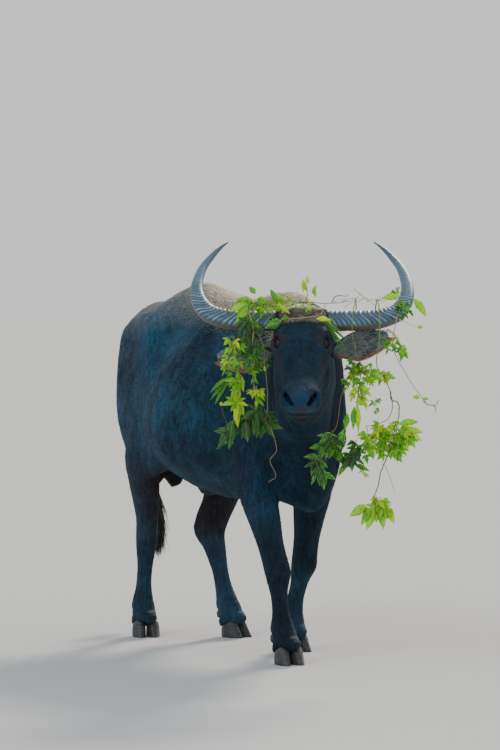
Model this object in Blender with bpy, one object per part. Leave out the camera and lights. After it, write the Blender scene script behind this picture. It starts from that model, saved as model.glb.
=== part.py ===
"""Water buffalo bull, life size, standing in mid step with its head turned to its right.

Metres, +Z up. The animal faces -Y, its left side is +X, and its hooves stand on z = 0.
The flesh is lofted from named stations, fused and relaxed into one body, and then parted
by thin cuts into head, neck, torso and legs. Horns, ears, eyes, claws, tail, tail switch and
the vine that hangs on the horns are pieces of their own. Locks of hair are fused to what
they grow from.
"""
import math
import random

import bmesh
import bpy
import numpy as np
from mathutils import Matrix, Vector

# Driving sizes of the animal.
WITHERS_HEIGHT = 1.39
LOIN_HEIGHT = 1.455
BACK_HEIGHT = 1.372
BELLY_HEIGHT = 0.61
BARREL_HALF_WIDTH = 0.345
HOOK_HALF_WIDTH = 0.245
HIP_Y = 0.80

# Where the head is carried: the poll, how far it is turned, and how steeply the face falls.
POLL = Vector((-0.247, -0.50, 1.326))
HEAD_YAW = math.radians(31)
FACE_FROM_VERTICAL = math.radians(54)

# Gap between touching pieces, and the cell of the mesh that fuses the flesh.
GAP = 0.0003
CELL = 0.0065
RELAX_ROUNDS = 110
CLOSE_TRIANGLES = 16000
BODY_TRIANGLES = 4300
TRUNK_PLAIN = 0.68
HEAD_PLAIN = 0.30
FEET_PLAIN = 0.50

# Colours as linear values, from the slate-grey hide, the horn and the hooves.
HIDE_COLOUR = (0.040, 0.048, 0.058)
HORN_COLOUR = (0.075, 0.085, 0.095)
HOOF_COLOUR = (0.030, 0.030, 0.032)
EYE_COLOUR = (0.012, 0.008, 0.006)
HAIR_COLOUR = (0.030, 0.026, 0.024)
LEAF_COLOUR = (0.150, 0.300, 0.030)


def clear_scene():
    for old in list(bpy.data.objects):
        bpy.data.objects.remove(old)


def material(name, colour, roughness, metallic=0.0):
    made = bpy.data.materials.new(name)
    made.use_nodes = True
    shader = made.node_tree.nodes["Principled BSDF"]
    shader.inputs["Base Color"].default_value = (*colour, 1.0)
    shader.inputs["Roughness"].default_value = roughness
    shader.inputs["Metallic"].default_value = metallic
    return made


def smooth_rows(rows, per_span):
    """Rows of numbers read off one smooth curve through them, with per_span steps between two."""
    rows = np.asarray(rows, float)
    ends = np.vstack([2 * rows[0] - rows[1], rows, 2 * rows[-1] - rows[-2]])
    read = []
    for i in range(1, len(ends) - 2):
        before, start, end, after = ends[i - 1], ends[i], ends[i + 1], ends[i + 2]
        for k in range(per_span):
            t = k / per_span
            read.append(
                0.5 * (
                    2 * start
                    + (end - before) * t
                    + (2 * before - 5 * start + 4 * end - after) * t ** 2
                    + (3 * start - before - 3 * end + after) * t ** 3
                )
            )
    read.append(rows[-1])
    return np.array(read)


def unit(vectors):
    return vectors / np.linalg.norm(vectors, axis=-1, keepdims=True)


def rings_along(rows, hint, sides, per_span, square=2.0):
    """Rings of points round a path. A row is centre x, y, z, half width, and the reach to the
    fore and aft of it; the fore side is the one that the hint points to."""
    read = smooth_rows(rows, per_span)
    centres, sizes = read[:, :3], np.maximum(read[:, 3:6], 0.0015)
    along = unit(np.gradient(centres, axis=0))
    across = unit(np.cross(along, np.asarray(hint, float)))
    fore = np.cross(across, along)
    turn = np.linspace(0, 2 * math.pi, sides, endpoint=False)
    cosine = np.sign(np.cos(turn)) * np.abs(np.cos(turn)) ** (2 / square)
    sine = np.sign(np.sin(turn)) * np.abs(np.sin(turn)) ** (2 / square)
    reach = np.where(sine > 0, sizes[:, 1:2], sizes[:, 2:3])
    return (
        centres[:, None]
        + across[:, None] * (sizes[:, :1] * cosine)[..., None]
        + fore[:, None] * (reach * sine)[..., None]
    )


def skin_rings(rings):
    """Faces between rings of equal count, and a flat face on each end."""
    count, sides = rings.shape[:2]
    faces = []
    for i in range(count - 1):
        for j in range(sides):
            k = (j + 1) % sides
            faces.append((i * sides + j, i * sides + k, (i + 1) * sides + k, (i + 1) * sides + j))
    faces.append(tuple(reversed(range(sides))))
    faces.append(tuple(range((count - 1) * sides, count * sides)))
    return rings.reshape(-1, 3), faces


def solid(name, points, faces, finish=None):
    """A mesh object of triangles with its faces turned outwards."""
    mesh = bpy.data.meshes.new(name)
    mesh.from_pydata([tuple(p) for p in points], [], faces)
    work = bmesh.new()
    work.from_mesh(mesh)
    bmesh.ops.triangulate(work, faces=work.faces)
    bmesh.ops.recalc_face_normals(work, faces=work.faces)
    if work.calc_volume(signed=True) < 0:
        bmesh.ops.reverse_faces(work, faces=work.faces)
    work.to_mesh(mesh)
    work.free()
    made = bpy.data.objects.new(name, mesh)
    bpy.context.scene.collection.objects.link(made)
    if finish:
        mesh.materials.append(finish)
    return made


def loft(name, rows, hint, sides=20, per_span=3, square=2.0, finish=None):
    return solid(name, *skin_rings(rings_along(rows, hint, sides, per_span, square)), finish)


def ellipsoid(name, centre, radii, turn=(0, 0, 0), rings=10, sides=14, finish=None):
    """A ball stretched to three radii, turned by angles in degrees."""
    work = bmesh.new()
    bmesh.ops.create_uvsphere(work, u_segments=sides, v_segments=rings, radius=1.0)
    turned = Matrix.LocRotScale(
        Vector(centre), Matrix.Rotation(math.radians(turn[2]), 3, "Z")
        @ Matrix.Rotation(math.radians(turn[1]), 3, "Y")
        @ Matrix.Rotation(math.radians(turn[0]), 3, "X"), Vector(radii)
    )
    bmesh.ops.transform(work, matrix=turned, verts=work.verts)
    mesh = bpy.data.meshes.new(name)
    work.to_mesh(mesh)
    work.free()
    made = bpy.data.objects.new(name, mesh)
    bpy.context.scene.collection.objects.link(made)
    if finish:
        mesh.materials.append(finish)
    return made


def apply_modifiers(obj):
    graph = bpy.context.evaluated_depsgraph_get()
    mesh = bpy.data.meshes.new_from_object(obj.evaluated_get(graph))
    obj.modifiers.clear()
    old, obj.data = obj.data, mesh
    mesh.name = old.name if old.users == 0 else mesh.name
    return obj


def join(name, pieces):
    """One object that holds the meshes of several, which are removed."""
    work = bmesh.new()
    for piece in pieces:
        mesh = piece.data.copy()
        mesh.transform(piece.matrix_world)
        work.from_mesh(mesh)
        bpy.data.objects.remove(piece)
        bpy.data.meshes.remove(mesh)
    mesh = bpy.data.meshes.new(name)
    work.to_mesh(mesh)
    work.free()
    made = bpy.data.objects.new(name, mesh)
    bpy.context.scene.collection.objects.link(made)
    return made


# Trunk from the buttocks to the breast, as half sections. Each row: y, height of the spine,
# then x and z of the roof, of the side and of the low side, then height of the underside.
TRUNK = (
    (1.322, 1.165, 0.042, 1.140, 0.060, 1.060, 0.045, 0.985, 0.960),
    (1.292, 1.245, 0.070, 1.205, 0.106, 1.060, 0.088, 0.900, 0.870),
    (1.225, 1.312, 0.092, 1.262, 0.138, 1.080, 0.126, 0.860, 0.800),
    (1.090, 1.358, 0.122, 1.302, 0.188, 1.110, 0.180, 0.850, 0.745),
    (0.955, 1.384, 0.145, 1.322, 0.222, 1.130, 0.222, 0.850, 0.710),
    (0.865, 1.412, 0.168, 1.325, 0.236, 1.170, 0.236, 0.830, 0.690),
    (HIP_Y - 0.005, LOIN_HEIGHT - 0.004, 0.192, 1.330, HOOK_HALF_WIDTH, 1.220, 0.246, 0.820, 0.668),
    (0.715, LOIN_HEIGHT - 0.008, 0.150, 1.345, 0.250, 1.140, 0.268, 0.800, 0.645),
    (0.630, 1.426, 0.128, 1.342, 0.278, 1.070, 0.290, 0.780, 0.622),
    (0.530, 1.402, 0.150, 1.326, 0.322, 1.030, 0.312, 0.765, 0.604),
    (0.410, 1.382, 0.170, 1.306, BARREL_HALF_WIDTH, 1.010, 0.320, 0.755, BELLY_HEIGHT - 0.014),
    (0.250, BACK_HEIGHT, 0.162, 1.300, 0.320, 1.010, 0.285, 0.750, BELLY_HEIGHT - 0.012),
    (0.100, WITHERS_HEIGHT + 0.010, 0.128, 1.305, 0.256, 1.040, 0.212, 0.740, 0.596),
    (-0.025, WITHERS_HEIGHT + 0.012, 0.118, 1.278, 0.204, 1.010, 0.160, 0.720, 0.578),
    (-0.125, 1.362, 0.116, 1.228, 0.160, 0.970, 0.118, 0.700, 0.560),
    (-0.205, 1.290, 0.088, 1.170, 0.104, 0.920, 0.076, 0.700, 0.585),
    (-0.245, 1.110, 0.030, 1.050, 0.045, 0.890, 0.035, 0.760, 0.700),
)

# Legs: joint places of each leg. The toe is where the middle of the two claws stands.
FORELEGS = {
    "fore_right": dict(side=-1, elbow=(-0.162, 0.000, 0.670), knee=(-0.140, -0.126, 0.345),
                       fetlock=(-0.132, -0.150, 0.128), toe=(-0.130, -0.200), turn=-6),
    "fore_left": dict(side=1, elbow=(0.158, 0.115, 0.670), knee=(0.130, 0.142, 0.350),
                      fetlock=(0.112, 0.205, 0.128), toe=(0.110, 0.168), turn=4),
}
HINDLEGS = {
    "hind_right": dict(side=-1, stifle=(-0.192, 0.830, 0.745), hock=(-0.126, 0.980, 0.430),
                       fetlock=(-0.146, 0.980, 0.128), toe=(-0.156, 0.932), turn=-16),
    "hind_left": dict(side=1, stifle=(0.198, 0.760, 0.745), hock=(0.118, 0.876, 0.425),
                      fetlock=(0.146, 0.785, 0.128), toe=(0.158, 0.742), turn=20),
}


def heading(turn):
    """The way a foot points: straight ahead, turned by degrees to the animal's left."""
    return (math.sin(math.radians(turn)), -math.cos(math.radians(turn)), 0)


def mix(a, b, share, shift=(0, 0, 0)):
    """A point between two, with a shift."""
    return tuple(p + (q - p) * share + d for p, q, d in zip(a, b, shift))


def ahead_of(place, turn, reach, rise=0.0):
    """A place moved along the way that the foot points."""
    way = heading(turn)
    return (place[0] + way[0] * reach, place[1] + way[1] * reach, place[2] + rise)


def closed_curve(corners, per_span):
    """A smooth closed curve through corners, as rings of x and z for every row at once."""
    read = []
    count = corners.shape[1]
    for i in range(count):
        before, start = corners[:, i - 1], corners[:, i]
        end, after = corners[:, (i + 1) % count], corners[:, (i + 2) % count]
        for k in range(per_span):
            t = k / per_span
            read.append(
                0.5 * (
                    2 * start
                    + (end - before) * t
                    + (2 * before - 5 * start + 4 * end - after) * t ** 2
                    + (3 * start - before - 3 * end + after) * t ** 3
                )
            )
    return np.stack(read, axis=1)


def trunk_form():
    rows = smooth_rows(TRUNK, 4)
    y, spine, roof_x, roof_z, side_x, side_z, low_x, low_z, under = rows.T
    none = np.zeros_like(y)
    around_x = np.stack([none, roof_x, side_x, low_x, none, -low_x, -side_x, -roof_x], axis=1)
    around_z = np.stack([spine, roof_z, side_z, low_z, under, low_z, side_z, roof_z], axis=1)
    around = closed_curve(np.stack([around_x, around_z], axis=2), 5)
    rings = np.stack([around[..., 0], np.broadcast_to(y[:, None], around.shape[:2]), around[..., 1]], axis=2)
    return solid("trunk", *skin_rings(rings))


def torso_forms():
    forms = [
        trunk_form(),
        ellipsoid("brisket", (0, -0.110, 0.680), (0.070, 0.140, 0.122), (14, 0, 0)),
        ellipsoid("sheath", (0, 0.660, 0.640), (0.036, 0.130, 0.055), (-10, 0, 0)),
        ellipsoid("scrotum", (0, 0.985, 0.690), (0.054, 0.058, 0.098), (-6, 0, 0)),
    ]
    for side in (-1, 1):
        forms += [
            ellipsoid("scapula", (side * 0.118, 0.050, 1.090), (0.088, 0.140, 0.205), (-14, side * 6, 0)),
            ellipsoid("shoulder_point", (side * 0.104, -0.080, 0.890), (0.076, 0.098, 0.140), (20, 0, 0)),
            ellipsoid("triceps", (side * 0.160, 0.090, 0.850), (0.074, 0.130, 0.165), (-20, 0, 0)),
            ellipsoid("hook", (side * (HOOK_HALF_WIDTH - 0.050), HIP_Y, 1.276), (0.052, 0.082, 0.056)),
            ellipsoid("thigh", (side * 0.134, 0.975, 0.950), (0.099, 0.200, 0.285), (-8, 0, 0)),
            ellipsoid("buttock", (side * 0.082, 1.135, 0.960), (0.076, 0.120, 0.265), (-12, 0, 0)),
            ellipsoid("pin", (side * 0.072, 1.250, 1.150), (0.050, 0.058, 0.060)),
            ellipsoid("flank_fold", (side * 0.200, 0.735, 0.790), (0.052, 0.110, 0.140), (30, 0, 0)),
        ]
    return forms


def foreleg_forms(name, elbow, knee, fetlock, toe, side, turn):
    """Arm, knee, cannon and pastern of one foreleg."""
    coronet = (*toe, 0.052)
    rows = [
        (side * 0.115, elbow[1] + 0.030, elbow[2] + 0.300, 0.045, 0.070, 0.070),
        (side * 0.140, elbow[1] + 0.015, elbow[2] + 0.140, 0.064, 0.090, 0.095),
        (*mix(elbow, knee, 0.05), 0.070, 0.090, 0.095),
        (*mix(elbow, knee, 0.35), 0.064, 0.076, 0.080),
        (*mix(elbow, knee, 0.70), 0.051, 0.057, 0.060),
        (*mix(elbow, knee, 0.95), 0.052, 0.053, 0.050),
        (*mix(knee, fetlock, 0.12), 0.050, 0.050, 0.046),
        (*mix(knee, fetlock, 0.35), 0.038, 0.037, 0.041),
        (*mix(knee, fetlock, 0.70), 0.035, 0.034, 0.040),
        (*mix(knee, fetlock, 0.92), 0.044, 0.043, 0.050),
        (*fetlock, 0.047, 0.047, 0.055),
        (*mix(fetlock, coronet, 0.45), 0.048, 0.045, 0.048),
        (*ahead_of(mix(fetlock, coronet, 0.85), turn, -0.022), 0.058, 0.050, 0.046),
        (*ahead_of(mix(fetlock, coronet, 1.05), turn, -0.026), 0.057, 0.050, 0.044),
    ]
    return [
        loft(name, rows, heading(turn), sides=18, square=2.1),
        ellipsoid("elbow_point", mix(elbow, elbow, 0, (0, 0.085, 0.025)), (0.040, 0.045, 0.066), (-20, 0, 0)),
        ellipsoid("knee_cap", mix(knee, knee, 0, (0, -0.020, -0.004)), (0.050, 0.042, 0.054)),
    ]


def hindleg_forms(name, stifle, hock, fetlock, toe, side, turn):
    """Thigh, gaskin, hock, cannon and pastern of one hind leg."""
    coronet = (*toe, 0.052)
    heel = ahead_of(hock, turn, -0.074, 0.016)
    rows = [
        (side * 0.100, HIP_Y + 0.200, 1.060, 0.045, 0.080, 0.100),
        (*mix(stifle, (side * 0.100, HIP_Y + 0.2, 1.06), 0.45), 0.074, 0.120, 0.130),
        (*mix(stifle, hock, 0.00, (0, 0.060, 0)), 0.074, 0.110, 0.125),
        (*mix(stifle, hock, 0.30, (0, 0.040, 0)), 0.066, 0.092, 0.112),
        (*mix(stifle, hock, 0.62, (0, 0.016, 0)), 0.055, 0.070, 0.092),
        (*mix(stifle, hock, 0.88), 0.047, 0.058, 0.066),
        (*mix(hock, fetlock, 0.03), 0.049, 0.058, 0.064),
        (*mix(hock, fetlock, 0.22), 0.044, 0.048, 0.054),
        (*mix(hock, fetlock, 0.48), 0.035, 0.038, 0.044),
        (*mix(hock, fetlock, 0.76), 0.035, 0.036, 0.043),
        (*mix(hock, fetlock, 0.94), 0.044, 0.043, 0.050),
        (*fetlock, 0.047, 0.047, 0.055),
        (*mix(fetlock, coronet, 0.45), 0.048, 0.045, 0.048),
        (*ahead_of(mix(fetlock, coronet, 0.85), turn, -0.022), 0.056, 0.050, 0.046),
        (*ahead_of(mix(fetlock, coronet, 1.05), turn, -0.026), 0.055, 0.050, 0.044),
    ]
    tendon = [
        (*ahead_of(mix(stifle, hock, 0.20), turn, -0.105), 0.036, 0.040, 0.036),
        (*ahead_of(mix(stifle, hock, 0.60), turn, -0.088), 0.028, 0.034, 0.026),
        (*heel, 0.027, 0.030, 0.030),
        (*mix(heel, fetlock, 0.22), 0.026, 0.028, 0.025),
    ]
    return [
        loft(name, rows, heading(turn), sides=18, square=2.1),
        loft("tendon", tendon, heading(turn), sides=10),
        ellipsoid("stifle", (stifle[0], stifle[1], stifle[2] + 0.02), (0.062, 0.088, 0.120)),
    ]


# Head: places are told along the face from the poll to the nose, below the face line, and
# out to the animal's left.
AHEAD = Vector((-math.sin(HEAD_YAW), -math.cos(HEAD_YAW), 0))
LEFT = Vector((math.cos(HEAD_YAW), -math.sin(HEAD_YAW), 0))
UP = Vector((0, 0, 1))
ALONG = AHEAD * math.sin(FACE_FROM_VERTICAL) - UP * math.cos(FACE_FROM_VERTICAL)
ABOVE = AHEAD * math.cos(FACE_FROM_VERTICAL) + UP * math.sin(FACE_FROM_VERTICAL)


def head_point(along, below, out=0.0):
    return POLL + ALONG * along - ABOVE * below + LEFT * out


# Skull and upper lip. Each row: along, half width, depth below the face line of top and underside.
SKULL = (
    (-0.075, 0.055, 0.045, 0.165),
    (-0.045, 0.085, 0.014, 0.200),
    (0.010, 0.098, -0.003, 0.215),
    (0.070, 0.104, -0.006, 0.222),
    (0.130, 0.106, -0.006, 0.232),
    (0.190, 0.098, -0.003, 0.228),
    (0.250, 0.082, 0.001, 0.195),
    (0.320, 0.070, 0.004, 0.152),
    (0.385, 0.066, 0.004, 0.122),
    (0.430, 0.071, 0.000, 0.108),
    (0.465, 0.076, -0.002, 0.097),
    (0.490, 0.070, 0.005, 0.089),
    (0.503, 0.048, 0.022, 0.072),
)
# Lower jaw and chin, told the same way.
JAW = (
    (0.100, 0.070, 0.130, 0.238),
    (0.190, 0.068, 0.130, 0.238),
    (0.280, 0.054, 0.115, 0.200),
    (0.370, 0.046, 0.095, 0.158),
    (0.430, 0.050, 0.088, 0.142),
    (0.468, 0.047, 0.084, 0.134),
    (0.488, 0.038, 0.086, 0.125),
    (0.496, 0.020, 0.092, 0.113),
)
EYE_PLACE = (0.150, 0.036, 0.0750)
EYE_RADIUS = 0.0245
EYE_LOOK = (0.42, 0.62, 0.66)


def head_ball(name, place, radii):
    """An ellipsoid on the head, with radii along the face, out to the side, and up from the face."""
    made = ellipsoid(name, (0, 0, 0), (radii[1], radii[0], radii[2]), sides=18, rings=12)
    turned = Matrix((LEFT, ALONG, ABOVE)).transposed().to_4x4()
    made.data.transform(Matrix.Translation(head_point(*place)) @ turned)
    return made


def head_loft(name, table, sides):
    rows = []
    for along, wide, top, under in table:
        middle = (top + under) / 2
        reach = (under - top) / 2
        rows.append((*head_point(along, middle), wide, reach, reach))
    return loft(name, rows, ABOVE, sides=sides, per_span=4, square=2.25)


def head_forms():
    forms = [
        head_loft("skull", SKULL, 36),
        head_loft("jaw", JAW, 24),
        head_ball("poll_crest", (-0.018, 0.034, 0.0), (0.048, 0.085, 0.040)),
        head_ball("nose_pad", (0.484, 0.048, 0.0), (0.024, 0.050, 0.040)),
    ]
    for side in (-1, 1):
        forms += [
            head_ball("orbit_base", (0.150, 0.060, side * 0.070), (0.082, 0.038, 0.062)),
            head_ball("orbit", (0.150, 0.040, side * 0.080), (0.046, 0.036, 0.038)),
            head_ball("brow", (0.112, 0.020, side * 0.074), (0.056, 0.030, 0.026)),
            head_ball("cheek", (0.165, 0.150, side * 0.062), (0.095, 0.046, 0.080)),
            head_ball("cheek_ridge", (0.230, 0.082, side * 0.062), (0.085, 0.020, 0.020)),
            head_ball("nostril_wing", (0.458, 0.030, side * 0.044), (0.042, 0.032, 0.032)),
            head_ball("upper_lip", (0.455, 0.070, side * 0.044), (0.042, 0.033, 0.028)),
            head_ball("horn_boss", (0.006, 0.034, side * 0.072), (0.056, 0.046, 0.040)),
        ]
    return forms


def neck_forms():
    rows = [
        (0.000, 0.160, 1.080, 0.120, 0.220, 0.290),
        (-0.008, -0.010, 1.080, 0.160, 0.258, 0.355),
        (-0.045, -0.150, 1.095, 0.156, 0.236, 0.345),
        (-0.102, -0.265, 1.125, 0.135, 0.194, 0.268),
        (-0.165, -0.375, 1.160, 0.120, 0.158, 0.212),
        (*head_point(-0.030, 0.110), 0.106, 0.122, 0.160),
        (*head_point(0.055, 0.150), 0.088, 0.090, 0.110),
    ]
    return [
        loft("neck", rows, (0, 0, 1), sides=28, per_span=4, square=2.1),
        ellipsoid("dewlap", (-0.055, -0.215, 0.850), (0.042, 0.110, 0.130), (35, 0, -20)),
    ]


def vertex_arrays(obj):
    mesh = obj.data
    points = np.empty(len(mesh.vertices) * 3)
    mesh.vertices.foreach_get("co", points)
    edges = np.empty(len(mesh.edges) * 2, int)
    mesh.edges.foreach_get("vertices", edges)
    return points.reshape(-1, 3), edges.reshape(-1, 2)


def relax(points, edges, weight, rounds):
    """Each point drawn towards the middle of its neighbours, by its own weight."""
    count = len(points)
    degree = np.bincount(edges.ravel(), minlength=count)
    for _ in range(rounds):
        middle = np.empty_like(points)
        for axis in range(3):
            line = points[:, axis]
            total = np.bincount(edges[:, 0], line[edges[:, 1]], count)
            total += np.bincount(edges[:, 1], line[edges[:, 0]], count)
            middle[:, axis] = total / degree
        points += weight[:, None] * (middle - points)
    return points


def near(points, centre, radius):
    """1 at the centre, falling smoothly to 0 at the radius."""
    share = np.linalg.norm(points - np.asarray(centre, float), axis=1) / radius
    return np.clip(1 - share ** 2, 0, 1) ** 2


def softness(points):
    """How strongly each part of the flesh is relaxed: much on the trunk, little on head and feet."""
    trunk = np.clip((points[:, 2] - 0.56) / 0.22, 0, 1)
    feet = np.clip((points[:, 2] - 0.10) / 0.35, 0.30, 1)
    head = np.clip(near(points, head_point(0.24, 0.08), 0.44) * 4, 0, 1)
    return (0.15 * feet + 0.75 * trunk) * (1 - 0.90 * head)


def fuse_flesh():
    """All forms of the flesh as one closed mesh, relaxed without losing its bulk."""
    forms = torso_forms() + neck_forms() + head_forms()
    for name, leg in FORELEGS.items():
        forms += foreleg_forms(name, **leg)
    for name, leg in HINDLEGS.items():
        forms += hindleg_forms(name, **leg)
    flesh = join("flesh", forms)
    cells = flesh.modifiers.new("cells", "REMESH")
    cells.mode = "VOXEL"
    cells.voxel_size = CELL
    apply_modifiers(flesh)
    points, edges = vertex_arrays(flesh)
    weight = softness(points)
    soft = relax(points.copy(), edges, weight, RELAX_ROUNDS)
    points = soft + relax(points - soft, edges, weight, RELAX_ROUNDS)
    flesh.data.vertices.foreach_set("co", points.ravel())
    flesh.data.update()
    return flesh


def thin_out(obj, triangles, group=None):
    """Fewer triangles. Where the group weighs least, most of them are kept."""
    fewer = obj.modifiers.new("fewer", "DECIMATE")
    have = sum(len(face.vertices) - 2 for face in obj.data.polygons)
    fewer.ratio = min(1.0, triangles / have)
    if group:
        fewer.vertex_group = group
        fewer.vertex_group_factor = 1.0
    apply_modifiers(obj)
    return obj


def weigh_plainness(flesh):
    """A vertex group that is low on the head, half on the feet and full on the trunk."""
    points, _ = vertex_arrays(flesh)
    head = np.clip(3 * near(points, head_point(0.28, 0.08), 0.36), 0, 1)
    feet = np.clip((0.62 - points[:, 2]) / 0.2, 0, 1)
    plain = TRUNK_PLAIN + (HEAD_PLAIN - TRUNK_PLAIN) * head
    plain += (FEET_PLAIN - TRUNK_PLAIN) * feet * (1 - head)
    group = flesh.vertex_groups.new(name="plain")
    for level in range(21):
        picked = np.flatnonzero(np.round(plain * 20) == level)
        group.add([int(i) for i in picked], level / 20, "REPLACE")
    return group.name


def swollen(obj, by=GAP * 1.35):
    """A copy of a solid, grown along its own normals, to cut a socket for it."""
    mesh = obj.data.copy()
    points = np.empty(len(mesh.vertices) * 3)
    normals = np.empty(len(mesh.vertices) * 3)
    mesh.vertices.foreach_get("co", points)
    mesh.vertices.foreach_get("normal", normals)
    mesh.vertices.foreach_set("co", points + normals * by)
    grown = bpy.data.objects.new("socket", mesh)
    bpy.context.scene.collection.objects.link(grown)
    return grown


def cut(target, cutters, solver="EXACT"):
    """Cutters taken out of a solid, one after the other, and removed."""
    for cutter in cutters:
        step = target.modifiers.new("cut", "BOOLEAN")
        step.operation = "DIFFERENCE"
        step.solver = solver
        step.object = cutter
        cutter.hide_render = True
        cutter.display_type = "WIRE"
        apply_modifiers(target)
        bpy.data.objects.remove(cutter)
    return target


def unite(target, pieces):
    """One solid made of a closed solid and closed pieces that reach into it. They are removed."""
    group = bpy.data.collections.new("pieces")
    for piece in pieces:
        group.objects.link(piece)
    step = target.modifiers.new("join", "BOOLEAN")
    step.operation = "UNION"
    step.operand_type = "COLLECTION"
    step.solver = "MANIFOLD"
    step.collection = group
    apply_modifiers(target)
    for piece in pieces:
        bpy.data.objects.remove(piece)
    bpy.data.collections.remove(group)
    return target


def slab(centre, normal, across, size):
    """A plate as thin as the gap, square to the normal, that parts a solid in two."""
    normal = Vector(normal).normalized()
    across = (Vector(across) - normal * normal.dot(Vector(across))).normalized()
    beyond = normal.cross(across)
    long_half, wide_half = (length / 2 for length in size)
    points = [
        Vector(centre) + across * (i * long_half) + beyond * (j * wide_half) + normal * (k * GAP / 2)
        for i in (-1, 1) for j in (-1, 1) for k in (-1, 1)
    ]
    faces = [(0, 1, 3, 2), (4, 6, 7, 5), (0, 4, 5, 1), (2, 3, 7, 6), (0, 2, 6, 4), (1, 5, 7, 3)]
    return solid("slab", points, faces)


def shells(obj):
    """Each closed shell of a mesh as an object of its own. The mesh is removed."""
    work = bmesh.new()
    work.from_mesh(obj.data)
    work.verts.ensure_lookup_table()
    seen, pieces = set(), []
    for start in work.verts:
        if start.index in seen:
            continue
        seen.add(start.index)
        found, ends = [start], [start]
        while ends:
            for edge in ends.pop().link_edges:
                for vert in edge.verts:
                    if vert.index not in seen:
                        seen.add(vert.index)
                        found.append(vert)
                        ends.append(vert)
        number = {vert.index: i for i, vert in enumerate(found)}
        faces = {face for vert in found for face in vert.link_faces}
        faces = [[number[vert.index] for vert in face.verts] for face in sorted(faces, key=lambda f: f.index)]
        pieces.append(solid("shell", [vert.co for vert in found], faces))
    work.free()
    bpy.data.objects.remove(obj)
    return pieces


def largest_shell(obj):
    """The shell with the most points. The others are removed."""
    pieces = sorted(shells(obj), key=lambda piece: -len(piece.data.vertices))
    for crumb in pieces[1:]:
        bpy.data.objects.remove(crumb)
    return pieces[0]


def middle_of(obj):
    points, _ = vertex_arrays(obj)
    return Vector((points.min(axis=0) + points.max(axis=0)) / 2)


# Planes that part the flesh: behind ears and jaw, before the shoulders, and round each limb.
def part_flesh(flesh):
    neck_way = Vector((-0.30, -0.80, 0.42))
    plates = [slab((-0.020, -0.150, 1.080), neck_way, (1, 0, 0), (0.60, 0.90))]
    for leg in FORELEGS.values():
        side = leg["side"]
        place = (side * 0.190, leg["elbow"][1], 0.655)
        plates.append(slab(place, (-side * 0.50, 0, 1), (0, 1, 0), (0.44, 0.27)))
    for leg in HINDLEGS.values():
        side = leg["side"]
        place = (side * 0.190, 0.930, 0.705)
        plates.append(slab(place, (-side * 0.30, -0.20, 1), (0, 1, 0), (0.62, 0.33)))
    cut(flesh, plates)
    named = {}
    for piece in shells(flesh):
        points, _ = vertex_arrays(piece)
        low, middle = points[:, 2].min(), middle_of(piece)
        if low < 0.3:
            end = "fore" if middle.y < 0.5 else "hind"
            named[f"leg_{end}_{'right' if middle.x < 0 else 'left'}"] = piece
        else:
            named["torso" if middle.y > 0.1 else "front"] = piece
    front = named.pop("front")
    cut(front, [slab(head_point(-0.045, 0.110), ALONG * 0.75 + ABOVE * 0.45, LEFT, (0.50, 0.90))])
    rear, head = sorted(shells(front), key=lambda piece: -middle_of(piece).y)
    named["neck"], named["head"] = rear, head
    return named


# Horns: out and up from the head in the plane of the forehead. Each row: out, back along
# the forehead, and breadth seen from the front. They lie just under the face line.
HORN = (
    (0.050, 0.000, 0.084), (0.100, -0.002, 0.088), (0.165, -0.002, 0.087), (0.235, 0.001, 0.084),
    (0.2925, 0.0136, 0.079), (0.347, 0.049, 0.069), (0.3815, 0.122, 0.057), (0.3895, 0.211, 0.045),
    (0.371, 0.321, 0.032), (0.334, 0.408, 0.022), (0.303, 0.462, 0.013), (0.275, 0.497, 0.004),
)
HORN_START = (0.008, 0.030)
HORN_LEAN = 0.025
HORN_RIDGES = 12


def horn(name, side, finish):
    rows = smooth_rows(HORN, 12)
    length = np.concatenate([[0], np.cumsum(np.linalg.norm(np.diff(rows[:, :2], axis=0), axis=1))])
    steps = np.linspace(0, length[-1] * 0.62, 2 * HORN_RIDGES + 1)
    steps = np.concatenate([steps, np.linspace(steps[-1], length[-1], 12)[1:]])
    read = np.stack([np.interp(steps, length, rows[:, k]) for k in range(3)], axis=1)
    table = []
    for i, (out, back, broad) in enumerate(read):
        swell = 1 + (0.022 if i % 2 else -0.022) * (i < 2 * HORN_RIDGES)
        flat = min(1.0, 0.62 + 0.3 * i / len(read))
        centre = head_point(HORN_START[0] - back, HORN_START[1], side * out - HORN_LEAN * back)
        table.append((*centre, broad / 2 * swell, broad * 0.40 * flat * swell, broad * 0.60 * flat * swell))
    rings = rings_along(table, ABOVE, 10, 1, 2.5)
    return solid(name, *skin_rings(rings), finish)


def eyeball(name, side, finish):
    centre = head_point(EYE_PLACE[0], EYE_PLACE[1], side * EYE_PLACE[2])
    return ellipsoid(name, centre, (EYE_RADIUS,) * 3, rings=8, sides=10, finish=finish)


def eye_axes(side):
    """Where the eye looks, and the long and short way of the slit between its lids."""
    look = (ALONG * EYE_LOOK[0] + ABOVE * EYE_LOOK[1] + LEFT * (side * EYE_LOOK[2])).normalized()
    long_way = (ALONG - look * look.dot(ALONG)).normalized()
    return look, long_way, look.cross(long_way).normalized()


def lid_slit(side):
    """The almond opening between the lids, from the ball out through the skin."""
    look, long_way, short_way = eye_axes(side)
    centre = head_point(EYE_PLACE[0], EYE_PLACE[1], side * EYE_PLACE[2])
    rings = []
    for depth, grow in ((0.004, 0.92), (0.020, 1.0), (0.026, 1.12), (0.050, 1.9)):
        ring = []
        for k in range(16):
            turn = 2 * math.pi * k / 16
            wide = 0.0220 * math.cos(turn)
            high = 0.0140 * math.sin(turn) * (1 - 0.35 * abs(math.cos(turn)) ** 2)
            ring.append(centre + look * depth + long_way * (wide * grow) + short_way * (high * grow))
        rings.append(ring)
    return solid("slit", *skin_rings(np.array(rings)))


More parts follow.
